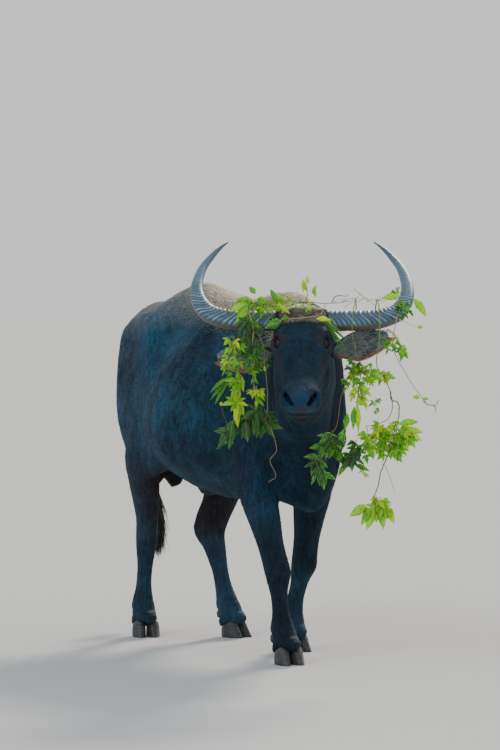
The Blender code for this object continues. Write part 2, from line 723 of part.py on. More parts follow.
def nostril(side):
    """A comma-shaped hollow, round at the front and drawn out to the side and back."""
    rows = [
        (*head_point(0.450, 0.042, side * 0.018), 0.006, 0.006, 0.006),
        (*head_point(0.462, 0.036, side * 0.026), 0.0120, 0.012, 0.013),
        (*head_point(0.476, 0.027, side * 0.033), 0.0155, 0.013, 0.015),
        (*head_point(0.488, 0.018, side * 0.043), 0.0150, 0.010, 0.014),
        (*head_point(0.505, 0.005, side * 0.057), 0.0150, 0.010, 0.014),
    ]
    return loft("nostril", rows, LEFT, sides=12)


# The line of the mouth from the corner to the front, told along, below and out.
MOUTH = (
    (0.345, 0.122, 0.050), (0.380, 0.116, 0.051), (0.425, 0.105, 0.056), (0.460, 0.0945, 0.055),
    (0.487, 0.0885, 0.040), (0.497, 0.087, 0.0),
)
MOUTH_MIDDLE = 0.30
MOUTH_DEPTH = 0.026
MOUTH_GAPE = 0.006


def mouth_cut():
    """The line between the lips, a wedge that runs round the muzzle from corner to corner."""
    half = MOUTH + tuple((along, below, -out) for along, below, out in MOUTH[-2::-1])
    rings = []
    for along, below, out in smooth_rows(half, 3):
        inward = Vector((MOUTH_MIDDLE - along, 0, -out)).normalized() * MOUTH_DEPTH
        outer = head_point(along - inward.x, below, out - inward.z)
        inner = head_point(along + inward.x, below, out + inward.z)
        rings.append([
            outer + ABOVE * (MOUTH_GAPE / 2), inner + ABOVE * 0.0004,
            inner - ABOVE * 0.0004, outer - ABOVE * (MOUTH_GAPE / 2),
        ])
    return solid("mouth", *skin_rings(np.array(rings)))


# Ears: leaf-shaped cups. The way they point and the way they open, told by out, up and ahead.
EARS = {
    "ear_left": dict(side=1, points=(0.94, 0.27, -0.12), opens=(-0.10, -0.30, 0.95)),
    "ear_right": dict(side=-1, points=(0.86, -0.10, -0.36), opens=(0.30, -0.35, 0.88)),
}
EAR_ROOT = (0.058, 0.138, 0.096)
EAR_LENGTH = 0.225
EAR_BOW = 0.018
EAR_REACH = 0.012
# Each row: share of the length, width when flat, how far the sides curl in degrees, thickness.
EAR_ROWS = (
    (0.00, 0.070, 140, 0.0090), (0.12, 0.100, 120, 0.0085), (0.28, 0.128, 88, 0.0080),
    (0.45, 0.134, 66, 0.0074), (0.62, 0.118, 54, 0.0070), (0.78, 0.088, 46, 0.0066),
    (0.90, 0.054, 40, 0.0064), (1.00, 0.020, 36, 0.0062),
)


EAR_TRIANGLES = 270
FRINGE_SHARES = (0.26, 0.42, 0.58, 0.74)
FRINGE_LENGTH = 0.042
FRINGE_WIDTH = 0.030

# Locks: share of the length and of the width at each ring, and how thick a lock is for its width.
LOCK_RINGS = ((0.0, 0.70), (0.32, 1.00), (0.70, 0.72), (1.0, 0.08))
LOCK_THICKNESS = 0.26


def lock(root, way, lie, face, length, width):
    """A flat, tapered lock of hair. It leaves its root one way, and bends over to lie another."""
    place, before, rings = Vector(root), 0.0, []
    for share, broad in LOCK_RINGS:
        now = Vector(way).normalized().lerp(Vector(lie).normalized(), min(1.0, 1.5 * share)).normalized()
        place = place + now * (length * (share - before))
        before = share
        across = now.cross(Vector(face)).normalized() * (width * broad / 2)
        rise = across.cross(now) * (2 * LOCK_THICKNESS)
        rings.append([place + across, place + rise, place - across])
    return solid("lock", *skin_rings(np.array(rings)))


def ear(name, side, points, opens, finish):
    """A cup of two sheets on a round plug, with locks of hair along its lower rim."""
    out = LEFT * side
    axis = (out * points[0] + UP * points[1] + AHEAD * points[2]).normalized()
    front = out * opens[0] + UP * opens[1] + AHEAD * opens[2]
    front = (front - axis * axis.dot(front)).normalized()
    across = axis.cross(front)
    base = head_point(EAR_ROOT[0], EAR_ROOT[1], side * EAR_ROOT[2])
    rows = smooth_rows(EAR_ROWS, 3)
    sheets = ([], [])
    for share, width, curl, thick in rows:
        bow = EAR_BOW * math.sin(share * math.pi) - EAR_REACH * share
        centre = base + axis * (share * EAR_LENGTH) - front * bow
        curl = math.radians(curl)
        radius = width / (2 * curl)
        for sheet, away in zip(sheets, (thick / 2, -thick / 2)):
            ring = []
            for turn in np.linspace(-curl, curl, 13):
                reach = radius + away
                sideways = across * (reach * math.sin(turn))
                ring.append(centre + sideways + front * (radius - reach * math.cos(turn)))
            sheet.append(ring)
    outer, inner = np.array(sheets[0]), np.array(sheets[1])
    cup = solid("cup", *skin_rings(np.concatenate([outer, inner[:, ::-1]], axis=1)))
    plug = [
        (*(base - axis * 0.030 + front * 0.006), 0.016, 0.016, 0.016),
        (*(base - axis * 0.005 + front * 0.006), 0.024, 0.022, 0.022),
        (*(base + axis * 0.022 + front * 0.004), 0.025, 0.020, 0.022),
        (*(base + axis * 0.042 + front * -0.004), 0.018, 0.008, 0.014),
    ]
    made = join(name, [cup, loft("plug", plug, front, sides=14)])
    cells = made.modifiers.new("cells", "REMESH")
    cells.mode = "VOXEL"
    cells.voxel_size = 0.0024
    apply_modifiers(made)
    places, edges = vertex_arrays(made)
    places = relax(places, edges, np.full(len(places), 0.5), 4)
    made.data.vertices.foreach_set("co", places.ravel())
    thin_out(made, EAR_TRIANGLES)
    middle = (outer + inner) / 2
    rim = 0 if middle[10][0][2] < middle[10][12][2] else 12
    next_in = 1 if rim == 0 else 11
    fringe = []
    for share in FRINGE_SHARES:
        row = int(np.argmin(np.abs(rows[:, 0] - share)))
        inward = Vector(middle[row][next_in] - middle[row][rim]).normalized()
        start = Vector(middle[row][rim]) + inward * 0.009
        hang = -inward * 0.6 - UP * 0.6 + axis * 0.5
        length = FRINGE_LENGTH * (0.75 + 0.5 * math.sin(share * math.pi))
        fringe.append(lock(start, -inward, hang, front, length, FRINGE_WIDTH))
    return unite(made, fringe)


# Poll tuft: longer hair between the horns that falls forward over the forehead. Each lock is
# told by its place along and out from the poll, and it spreads outwards a little.
TUFT_ROOTS = (
    (-0.034, -0.024), (-0.034, 0.022), (-0.012, 0.000), (-0.008, -0.036), (-0.008, 0.036),
    (0.016, -0.018), (0.016, 0.020), (0.040, 0.000), (0.036, -0.040), (0.036, 0.040),
)
TUFT_LENGTH = 0.070
TUFT_WIDTH = 0.030


def poll_tuft(head):
    locks = []
    for k, (along, out) in enumerate(TUFT_ROOTS):
        found, place, normal, _ = head.ray_cast(head_point(along, -0.2, out), -ABOVE)
        root = (place if found else head_point(along, 0.0, out)) - normal * 0.008
        lie = ALONG - normal * (0.16 + ALONG.dot(normal)) + LEFT * (4.0 * out + 0.12 * (-1) ** k)
        length = TUFT_LENGTH * (1 - 0.18 * (k % 3) / 2)
        locks.append(lock(root, ALONG * 0.8 + normal * 0.75, lie, normal, length, TUFT_WIDTH))
    return locks


# Claws: half length ahead of and behind the middle, half width, and how far apart a pair stands.
CLAW_FRONT = 0.062
CLAW_HEEL = 0.050
CLAW_HALF_WIDTH = 0.0272
CLAW_APART = 0.0300
CLAW_SPLAY = 5
# Each level of a claw: height, how far the front and the heel slip back, and its width.
CLAW_LEVELS = (
    (0.000, 0.000, 0.004, 0.93), (0.004, 0.002, 0.000, 1.00), (0.022, 0.015, -0.002, 1.00),
    (0.042, 0.031, -0.001, 0.95), (0.056, 0.043, 0.008, 0.84), (0.064, 0.052, 0.024, 0.50),
)


def sideways(turn):
    """To the left of a foot that points by degrees to the animal's left."""
    return Vector((math.cos(math.radians(turn)), math.sin(math.radians(turn)), 0))


def claw(name, foot, which, finish):
    """One claw: pointed ahead, flat under, steep at the heel and sloping at the front wall."""
    turn, toe = foot["turn"], foot["toe"]
    splay = turn + which * CLAW_SPLAY
    ahead, across = Vector(heading(splay)), sideways(splay)
    centre = Vector((toe[0], toe[1], 0)) + sideways(turn) * (which * CLAW_APART)
    top = CLAW_LEVELS[-1][0]
    rings = []
    for rise, front_slip, heel_slip, narrow in CLAW_LEVELS:
        ring = []
        for k in range(10):
            angle = 2 * math.pi * k / 10
            ahead_share, aside = math.cos(angle), math.sin(angle)
            aside = math.copysign(abs(aside) ** (1 + 0.5 * max(0, ahead_share)), aside)
            forward = ahead_share * (CLAW_FRONT if ahead_share > 0 else CLAW_HEEL)
            slip = front_slip * max(0, ahead_share) - heel_slip * max(0, -ahead_share)
            bend = -which * 0.10 * max(0, forward)
            lift = 0.012 * forward / CLAW_FRONT * (rise / top) if rise > 0.03 else 0
            ring.append(
                centre + ahead * (forward - slip) + across * (aside * CLAW_HALF_WIDTH * narrow + bend)
                + UP * (rise + lift)
            )
        rings.append(ring)
    return solid(name, *skin_rings(np.array(rings)), finish)


def dewclaw(name, foot, which, finish):
    """A small blunt claw that juts behind the fetlock."""
    turn = foot["turn"]
    centre = Vector(ahead_of(foot["fetlock"], turn, -0.020, -0.034)) + sideways(turn) * (which * 0.026)
    radii = (0.0150, 0.0180, 0.0220)
    return ellipsoid(name, centre, radii, (24, 0, turn), rings=5, sides=8, finish=finish)


# Tail: hangs close behind the buttocks and a little to the left.
TAIL = (
    (0.000, 1.225, 1.240, 0.040), (0.000, 1.300, 1.222, 0.036), (0.006, 1.352, 1.165, 0.031),
    (0.018, 1.366, 1.070, 0.026), (0.034, 1.362, 0.960, 0.022), (0.052, 1.352, 0.840, 0.018),
    (0.070, 1.342, 0.720, 0.015), (0.084, 1.335, 0.610, 0.013), (0.092, 1.332, 0.545, 0.010),
)
SWITCH_CORE = (
    (0.087, 1.334, 0.590, 0.0160), (0.092, 1.332, 0.545, 0.0225), (0.097, 1.331, 0.495, 0.0235),
    (0.101, 1.330, 0.445, 0.0170), (0.103, 1.330, 0.415, 0.0080),
)
SWITCH_LOCKS = 11
SWITCH_LOCK_LENGTH = 0.150
SWITCH_LOCK_WIDTH = 0.036
SWITCH_TURN = 137.5


def tail_solids(finish, hair):
    """The tail, and the switch of locks that hang from a core round its end."""
    tail = loft("tail", [(x, y, z, r, r, r) for x, y, z, r in TAIL], (0, -1, 0), 9, 2, finish=finish)
    rows = [(x, y, z, r, r, r) for x, y, z, r in SWITCH_CORE]
    core = loft("tail_switch", rows, (0, -1, 0), 8, 1, finish=hair)
    rows = smooth_rows(SWITCH_CORE, 6)
    locks = []
    for k in range(SWITCH_LOCKS):
        share = k / (SWITCH_LOCKS - 1)
        x, y, z, radius = rows[int(round((0.06 + 0.80 * share) * (len(rows) - 1)))]
        turn = math.radians(SWITCH_TURN * k)
        outward = Vector((math.cos(turn), math.sin(turn), 0))
        root = Vector((x, y, z)) + outward * (radius - 0.006)
        sway = outward.cross(UP) * (0.10 * math.sin(2.3 * k))
        length = SWITCH_LOCK_LENGTH * (1.0 - 0.16 * math.sin(5.0 * k))
        lie = sway - UP - outward * 0.12
        locks.append(lock(root, outward * 0.75 - UP, lie, outward, length, SWITCH_LOCK_WIDTH))
    switch = unite(core, locks)
    return tail, largest_shell(cut(switch, [swollen(tail)]))


# Vine: leafy strands thrown over the horns and hanging beside the face. A point of a strand is
# told by out to the animal's left, height above the ground, and ahead of the poll.
STRANDS = {
    "vine_crown": [
        dict(leaves=13, length=0.070, first=0.05, last=0.62, path=(
            (-0.272, 1.318, -0.020), (-0.235, 1.340, -0.005), (-0.190, 1.352, -0.010), (-0.140, 1.358, 0.012),
            (-0.090, 1.362, 0.030), (-0.030, 1.364, 0.040), (0.030, 1.362, 0.040), (0.085, 1.352, 0.036),
            (0.130, 1.352, 0.022), (0.165, 1.352, 0.010))),
        dict(leaves=3, length=0.055, first=0.0, last=0.5, path=(
            (0.0842, 1.3530, 0.0352), (0.070, 1.322, 0.058), (0.020, 1.315, 0.066), (-0.050, 1.312, 0.066))),
        dict(leaves=4, length=0.050, first=0.5, last=1.0, path=(
            (0.0195, 1.3605, 0.0400), (0.024, 1.395, 0.030), (0.018, 1.425, 0.022), (0.020, 1.452, 0.020))),
    ],
    "vine_right": [
        dict(leaves=10, length=0.084, first=0.42, last=1.0, path=(
            (-0.182, 1.292, -0.100), (-0.190, 1.360, -0.062), (-0.198, 1.386, -0.020), (-0.205, 1.345, 0.044),
            (-0.212, 1.260, 0.054), (-0.228, 1.180, 0.052), (-0.240, 1.100, 0.050), (-0.238, 1.030, 0.050),
            (-0.230, 0.960, 0.052))),
        dict(leaves=7, length=0.090, first=0.15, last=1.0, path=(
            (-0.206, 1.335, 0.045), (-0.176, 1.270, 0.056), (-0.186, 1.180, 0.060), (-0.178, 1.090, 0.056),
            (-0.168, 1.000, 0.052), (-0.176, 0.930, 0.048), (-0.150, 0.866, 0.044))),
        dict(leaves=0, length=0.05, first=0.0, last=1.0, path=(
            (-0.1775, 1.279, 0.0570), (-0.142, 1.200, 0.062), (-0.134, 1.090, 0.066), (-0.128, 0.980, 0.060),
            (-0.112, 0.896, 0.056), (-0.092, 0.822, 0.054), (-0.118, 0.784, 0.052), (-0.096, 0.730, 0.052),
            (-0.124, 0.704, 0.052))),
    ],
    "vine_left_outer": [
        dict(leaves=16, length=0.086, first=0.30, last=1.0, path=(
            (0.262, 1.300, -0.110), (0.270, 1.358, -0.066), (0.276, 1.366, -0.022), (0.281, 1.310, 0.050),
            (0.280, 1.220, 0.084), (0.270, 1.146, 0.090), (0.268, 1.096, 0.090), (0.300, 1.060, 0.090),
            (0.320, 1.010, 0.088), (0.314, 0.950, 0.086), (0.303, 0.896, 0.086), (0.296, 0.840, 0.086),
            (0.277, 0.786, 0.086), (0.255, 0.731, 0.086), (0.243, 0.680, 0.086), (0.262, 0.640, 0.086))),
        dict(leaves=5, length=0.062, first=0.10, last=0.62, path=(
            (0.2765, 1.3652, -0.0212), (0.318, 1.376, -0.020), (0.352, 1.362, 0.004), (0.338, 1.285, 0.044),
            (0.318, 1.222, 0.070), (0.356, 1.133, 0.076), (0.401, 1.060, 0.076), (0.449, 1.006, 0.074),
            (0.492, 0.976, 0.072))),
    ],
    "vine_left_inner": [
        dict(leaves=10, length=0.080, first=0.50, last=1.0, path=(
            (0.196, 1.292, -0.100), (0.196, 1.356, -0.062), (0.194, 1.370, -0.020), (0.186, 1.326, 0.030),
            (0.182, 1.255, 0.036), (0.190, 1.180, 0.036), (0.198, 1.110, 0.036), (0.198, 1.040, 0.036),
            (0.196, 0.980, 0.036), (0.196, 0.925, 0.036))),
        dict(leaves=7, length=0.084, first=0.45, last=1.0, path=(
            (0.1987, 1.119, 0.0367), (0.160, 1.080, 0.040), (0.134, 1.010, 0.040), (0.124, 0.920, 0.040),
            (0.098, 0.872, 0.040), (0.072, 0.818, 0.040), (0.058, 0.750, 0.040), (0.070, 0.690, 0.040))),
    ],
}
STEM_RADIUS = 0.0024
LEAF_THICKNESS = 0.0018
LEAF_SEED = 40
VINE_GAP = 0.0012


def strand_point(out, height, ahead):
    place = POLL + LEFT * out + AHEAD * ahead
    return Vector((place.x, place.y, height))


def leaf(base, way, face, length, width):
    """A pointed leaf folded along its midrib, thickest there and sharp at the rim."""
    across = way.cross(face).normalized()
    face = across.cross(way).normalized()
    middle = base + way * (0.42 * length) - Vector((0, 0, 0.05 * length))
    fold = middle - face * (0.14 * width)
    points = [base, middle + across * (width / 2), middle - across * (width / 2)]
    points += [fold + face * (LEAF_THICKNESS / 2), fold - face * (LEAF_THICKNESS / 2)]
    points.append(base + way * length - Vector((0, 0, 0.24 * length)))
    faces = [(0, 1, 3), (1, 5, 3), (0, 3, 2), (3, 5, 2), (0, 4, 1), (4, 5, 1), (0, 2, 4), (2, 5, 4)]
    return solid("leaf", points, faces)


def vine(name, strands):
    """Stems and leaves of one bundle, fused into one solid."""
    chance = random.Random(LEAF_SEED + len(name))
    stems, leaves = [], []
    for strand in strands:
        path = np.array([strand_point(*point) for point in strand["path"]])
        slim = np.linspace(STEM_RADIUS, STEM_RADIUS * 0.62, len(path))
        rows = np.column_stack([path, slim, slim, slim])
        stems.append(loft("stem", rows, (0.3, 0.9, 0.1), sides=4, per_span=1))
        for k in range(strand["leaves"]):
            share = strand["first"] + (strand["last"] - strand["first"]) * (k + 0.5) / strand["leaves"]
            place = share * (len(path) - 1)
            before = min(int(place), len(path) - 2)
            base = Vector(path[before] + (path[before + 1] - path[before]) * (place - before))
            turn = math.radians(chance.uniform(20, 120)) * (1 if k % 2 else -1)
            forth = chance.uniform(0.05, 0.60)
            way = (LEFT * math.sin(turn) - UP * math.cos(turn) + AHEAD * forth).normalized()
            face = AHEAD + LEFT * chance.uniform(-0.5, 0.5) + UP * chance.uniform(0.0, 0.8)
            length = strand["length"] * chance.uniform(0.75, 1.2)
            leaves.append(leaf(base, way, face, length, length * chance.uniform(0.40, 0.52)))
    return unite(stems[0], stems[1:] + leaves)


def finish_solid(obj, finish):
    """Smooth shading with crisp edges where pieces were cut, and the one material."""
    obj.data.materials.clear()
    obj.data.materials.append(finish)
    obj.data.shade_smooth()
    obj.data.set_sharp_from_angle(angle=math.radians(50))


clear_scene()
hide = material("hide", HIDE_COLOUR, 0.62)
horn_finish = material("horn", HORN_COLOUR, 0.45)
hoof_finish = material("hoof", HOOF_COLOUR, 0.50)
eye_finish = material("eye", EYE_COLOUR, 0.08)
hair_finish = material("hair", HAIR_COLOUR, 0.75)
leaf_finish = material("leaf", LEAF_COLOUR, 0.55)

FINISHES = (
    ("horn", horn_finish), ("eye", eye_finish), ("claw", hoof_finish), ("dewclaw", hoof_finish),
    ("tail_switch", hair_finish), ("vine", leaf_finish),
)

flesh = fuse_flesh()
thin_out(flesh, CLOSE_TRIANGLES)
thin_out(flesh, BODY_TRIANGLES, weigh_plainness(flesh))
nodes = part_flesh(flesh)

head_cutters = []
for name, side in (("right", -1), ("left", 1)):
    nodes[f"horn_{name}"] = horn(f"horn_{name}", side, horn_finish)
    nodes[f"eye_{name}"] = eyeball(f"eye_{name}", side, eye_finish)
    cup = ear(f"ear_{name}", finish=hide, **EARS[f"ear_{name}"])
    nodes[f"ear_{name}"] = largest_shell(cut(cup, [swollen(nodes[f"horn_{name}"])]))
    head_cutters += [swollen(nodes[f"eye_{name}"]), lid_slit(side), nostril(side)]
    head_cutters += [swollen(nodes[f"horn_{name}"]), swollen(nodes[f"ear_{name}"])]
unite(nodes["head"], poll_tuft(nodes["head"]))
nodes["head"] = largest_shell(cut(nodes["head"], head_cutters + [mouth_cut()]))

nodes["tail"], nodes["tail_switch"] = tail_solids(hide, hair_finish)
cut(nodes["torso"], [swollen(nodes["tail"])])

for leg, foot in {**FORELEGS, **HINDLEGS}.items():
    sockets = []
    for which in (-1, 1):
        word = "outer" if which == foot["side"] else "inner"
        for kind, shape in (("claw", claw), ("dewclaw", dewclaw)):
            toe_name = f"{kind}_{leg}_{word}"
            nodes[toe_name] = shape(toe_name, foot, which, hoof_finish)
            sockets.append(swollen(nodes[toe_name]))
    cut(nodes[f"leg_{leg}"], sockets)

for name, strands in STRANDS.items():
    around = [node for other, node in nodes.items() if other.startswith(("horn", "ear", "head", "vine"))]
    bundle = cut(vine(name, strands), [swollen(node, VINE_GAP) for node in around], "MANIFOLD")
    nodes[name] = largest_shell(bundle)

for name, node in nodes.items():
    node.name = name
    finish_solid(node, next((finish for start, finish in FINISHES if name.startswith(start)), hide))

# The middle of the ground under the whole animal becomes the origin.
corners = np.concatenate([vertex_arrays(node)[0] for node in nodes.values()])
low, high = corners.min(axis=0), corners.max(axis=0)
MOVE = Vector((-(low[0] + high[0]) / 2, -(low[1] + high[1]) / 2, -low[2]))
for node in nodes.values():
    node.data.transform(Matrix.Translation(MOVE))
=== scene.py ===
"""Water buffalo bull, life size, in mid step with its head turned, hung with a leafy vine."""
import math
import random

import bmesh
import bpy
import numpy as np
from mathutils import Matrix, Vector


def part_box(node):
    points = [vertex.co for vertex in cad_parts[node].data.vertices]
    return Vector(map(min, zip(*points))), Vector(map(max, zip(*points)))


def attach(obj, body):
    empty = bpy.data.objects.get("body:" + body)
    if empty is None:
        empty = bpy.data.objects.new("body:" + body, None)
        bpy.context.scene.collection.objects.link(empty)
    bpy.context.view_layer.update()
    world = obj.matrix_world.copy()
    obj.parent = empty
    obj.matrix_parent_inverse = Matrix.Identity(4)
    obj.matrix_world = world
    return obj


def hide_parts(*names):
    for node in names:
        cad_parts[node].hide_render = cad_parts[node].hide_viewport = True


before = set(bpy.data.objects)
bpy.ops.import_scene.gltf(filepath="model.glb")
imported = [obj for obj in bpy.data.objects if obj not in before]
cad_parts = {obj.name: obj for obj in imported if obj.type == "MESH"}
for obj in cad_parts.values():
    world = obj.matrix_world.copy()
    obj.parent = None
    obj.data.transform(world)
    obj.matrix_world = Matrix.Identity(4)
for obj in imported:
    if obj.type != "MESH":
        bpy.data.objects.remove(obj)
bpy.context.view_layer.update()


# Camera: a long lens 12 m away, a little above the eyes, as the photograph was taken. The
# whole animal stands in the frame, its horn tips a third of the way down. STAND is the spot on
# the ground between its shoulders. It walks towards -Y, and its left is +X.
STAND = Vector((0.0967046, -0.2658322, 0))
VIEW_TURN = math.radians(29)
VIEW_FALL = 1.374
CAMERA_AWAY = 11.97
CAMERA_ASIDE = 0.1646
CAMERA_HEIGHT = 1.37
LENS = 150.1
camera = bpy.data.objects.new("camera", bpy.data.cameras.new("camera"))
bpy.context.scene.collection.objects.link(camera)
camera.data.sensor_fit = "VERTICAL"
camera.data.sensor_height = 36
camera.data.lens = LENS
camera.location = STAND + Vector((
    -CAMERA_AWAY * math.sin(VIEW_TURN) - CAMERA_ASIDE * math.cos(VIEW_TURN),
    -CAMERA_AWAY * math.cos(VIEW_TURN) + CAMERA_ASIDE * math.sin(VIEW_TURN),
    CAMERA_HEIGHT,
))
camera.rotation_euler = (math.radians(90 - VIEW_FALL), 0, -VIEW_TURN)
bpy.context.scene.camera = camera


# Studio: soft light from all round, a broad warm light from behind and above that rims the
# back and the horns as low sun does, a wide soft one from the front left, and a weak one from
# the right. The pale floor takes as much light as it needs to match the pale background.
def linear(code, alpha=1.0):
    """A colour written as sRGB hex, as linear red, green, blue and alpha."""
    parts = [int(code[i:i + 2], 16) / 255 for i in (1, 3, 5)]
    return (*[p / 12.92 if p <= 0.04045 else ((p + 0.055) / 1.055) ** 2.4 for p in parts], alpha)


def add(tree, kind, inputs=(), stops=(), **settings):
    """A node of a kind with its settings. An input takes a value or another node's output.

    The stops of a colour ramp are places from 0 to 1, each with its colour.
    """
    node = tree.nodes.new(kind)
    for name, value in settings.items():
        setattr(node, name, value)
    for name, value in dict(inputs).items():
        if isinstance(value, bpy.types.NodeSocket):
            tree.links.new(value, node.inputs[name])
        else:
            node.inputs[name].default_value = value
    if stops:
        ramp = node.color_ramp.elements
        ramp.remove(ramp[1])
        ramp[0].position, ramp[0].color = stops[0][0], linear(stops[0][1])
        for spot, code in stops[1:]:
            ramp.new(spot).color = linear(code)
    return node


def finish_named(name):
    """A new material with its tree and its Principled shader."""
    made = bpy.data.materials.new(name)
    made.use_nodes = True
    return made, made.node_tree, made.node_tree.nodes["Principled BSDF"]


def far_lamp(name, place, width, strength, colour):
    """A lamp so far off that it lights all places alike, as wide as an angle in degrees."""
    made = bpy.data.objects.new(name, bpy.data.lights.new(name, "SUN"))
    made.data.angle = math.radians(width)
    made.data.energy = strength
    made.data.color = linear(colour)[:3]
    made.rotation_euler = Vector(place).to_track_quat("Z", "Y").to_euler()
    made.location = Vector(place) * 6
    bpy.context.scene.collection.objects.link(made)


far_lamp("back_lamp", (0.66, 0.56, 0.58), 12, 4.2, "#fff2dc")
far_lamp("front_lamp", (-1.0, -0.32, 0.85), 24, 0.75, "#e6f0ff")
far_lamp("side_lamp", (0.75, -0.95, 0.45), 45, 0.18, "#e2efff")
world = bpy.data.worlds.new("studio")
world.use_nodes = True
sky = world.node_tree.nodes["Background"].inputs
sky["Color"].default_value = linear("#f3f4f4")
sky["Strength"].default_value = 0.95
bpy.context.scene.world = world

FLOOR_REACH = 400.0
floor_mesh = bpy.data.meshes.new("floor")
quarters = ((-1, -1), (1, -1), (1, 1), (-1, 1))
floor_mesh.from_pydata([(x * FLOOR_REACH, y * FLOOR_REACH, 0) for x, y in quarters], [], [(0, 1, 2, 3)])
floor = bpy.data.objects.new("floor", floor_mesh)
bpy.context.scene.collection.objects.link(floor)
paper, tree, shader = finish_named("matt_paper")
shader.inputs["Base Color"].default_value = linear("#bbbdc0")
shader.inputs["Roughness"].default_value = 0.9
shader.inputs["Specular IOR Level"].default_value = 0.0
floor_mesh.materials.append(paper)


# Flesh and hide: the head, neck, trunk, legs and tail are one skin with no seam. The skin is
# fused from the model's solids, drawn smooth, and then its folds, lids and lips are pressed in.
# POLL is the top of the skull, and the face falls ahead of it.
POLL = STAND + Vector((-0.247, -0.50, 1.326))
HEAD_TURN = math.radians(31)
FACE_FALL = math.radians(54)
AHEAD = Vector((-math.sin(HEAD_TURN), -math.cos(HEAD_TURN), 0))
LEFT = Vector((math.cos(HEAD_TURN), -math.sin(HEAD_TURN), 0))
UP = Vector((0, 0, 1))
ALONG = AHEAD * math.sin(FACE_FALL) - UP * math.cos(FACE_FALL)
ABOVE = AHEAD * math.cos(FACE_FALL) + UP * math.sin(FACE_FALL)
FLESH = ("head", "neck", "torso", "leg_fore_right", "leg_fore_left", "leg_hind_right", "leg_hind_left",
         "tail")
LEGS = ("fore_right", "fore_left", "hind_right", "hind_left")
HIDE_CELL = 0.0084
HIDE_ROUNDS = 27
HEAD_ROUNDS = 6
EYE_RADIUS = 0.0245
EYE_PLACE = (0.150, 0.036, 0.0750)


def head_place(along, below, out=0.0):
    """A place told along the face from the poll, below the face line, and out to the left."""
    return POLL + ALONG * along - ABOVE * below + LEFT * out


def eye_middle(side):
    """The middle of the left eye, side 1, or of the right eye, side -1."""
    along, below, out = EYE_PLACE
    return head_place(along, below, side * out)


def welded(mesh, swell=0.0):
    """A mesh as edit data with its split points joined, grown a little along its normals."""
    work = bmesh.new()
    work.from_mesh(mesh)
    bmesh.ops.remove_doubles(work, verts=work.verts, dist=1e-6)
    work.normal_update()
    if swell:
        for vert in work.verts:
            vert.co += vert.normal * swell
    return work


def ball(place, radii, turn=None):
    """Edit data of a stretched ball."""
    work = bmesh.new()
    bmesh.ops.create_uvsphere(work, u_segments=20, v_segments=14, radius=1.0)
    matrix = Matrix.Diagonal(Vector(radii)).to_4x4()
    if turn:
        matrix = turn.to_4x4() @ matrix
    bmesh.ops.transform(work, matrix=Matrix.Translation(place) @ matrix, verts=work.verts)
    return work


def fused(name, parts, cell):
    """One closed surface round all the parts, on a grid of cells."""
    whole = bmesh.new()
    for part in parts:
        mesh = bpy.data.meshes.new("part")
        part.to_mesh(mesh)
        part.free()
        whole.from_mesh(mesh)
        bpy.data.meshes.remove(mesh)
    mesh = bpy.data.meshes.new(name)
    whole.to_mesh(mesh)
    whole.free()
    made = bpy.data.objects.new(name, mesh)
    bpy.context.scene.collection.objects.link(made)
    cells = made.modifiers.new("cells", "REMESH")
    cells.mode = "VOXEL"
    cells.voxel_size = cell
    graph = bpy.context.evaluated_depsgraph_get()
    mesh = bpy.data.meshes.new_from_object(made.evaluated_get(graph))
    made.modifiers.clear()
    made.data = mesh
    return made


def points_of(mesh):
    points = np.empty(len(mesh.vertices) * 3)
    mesh.vertices.foreach_get("co", points)
    return points.reshape(-1, 3)


def normals_of(mesh):
    normals = np.empty(len(mesh.vertices) * 3)
    mesh.vertices.foreach_get("normal", normals)
    return normals.reshape(-1, 3)


def edges_of(mesh):
    edges = np.empty(len(mesh.edges) * 2, int)
    mesh.edges.foreach_get("vertices", edges)
    return edges.reshape(-1, 2)


def set_points(mesh, points):
    mesh.vertices.foreach_set("co", points.ravel())
    mesh.update()


def relaxed(points, edges, weight, rounds):
    """Points drawn towards the middle of their neighbours, each by its own weight."""
    points = points.copy()
    count = len(points)
    degree = np.maximum(np.bincount(edges.ravel(), minlength=count), 1)
    for _ in range(rounds):
        for axis in range(3):
            line = points[:, axis].copy()
            total = np.bincount(edges[:, 0], line[edges[:, 1]], count)
            total += np.bincount(edges[:, 1], line[edges[:, 0]], count)
            points[:, axis] += weight * (total / degree - line)
    return points


def smoothed(points, edges, weight, rounds):
    """Relaxed points that keep their bulk."""
    soft = relaxed(points, edges, weight, rounds)
    return soft + relaxed(points - soft, edges, weight, rounds)


def near(points, centre, radius):
    """1 at the centre, falling smoothly to 0 at the radius."""
    share = np.linalg.norm(points - np.asarray(centre, float), axis=1) / radius
    return np.clip(1 - share ** 2, 0, 1) ** 2


def largest_piece(obj):
    """Only the surface with the most points stays."""
    edges = edges_of(obj.data)
    label = np.arange(len(obj.data.vertices))
    while True:
        low = np.minimum(label[edges[:, 0]], label[edges[:, 1]])
        fresh = label.copy()
        np.minimum.at(fresh, edges[:, 0], low)
        np.minimum.at(fresh, edges[:, 1], low)
        fresh = fresh[fresh]
        if (fresh == label).all():
            break
        label = fresh
    most = np.bincount(label).argmax()
    work = bmesh.new()
    work.from_mesh(obj.data)
    work.verts.ensure_lookup_table()
    bmesh.ops.delete(work, geom=[work.verts[i] for i in np.flatnonzero(label != most)], context="VERTS")
    work.to_mesh(obj.data)
    work.free()


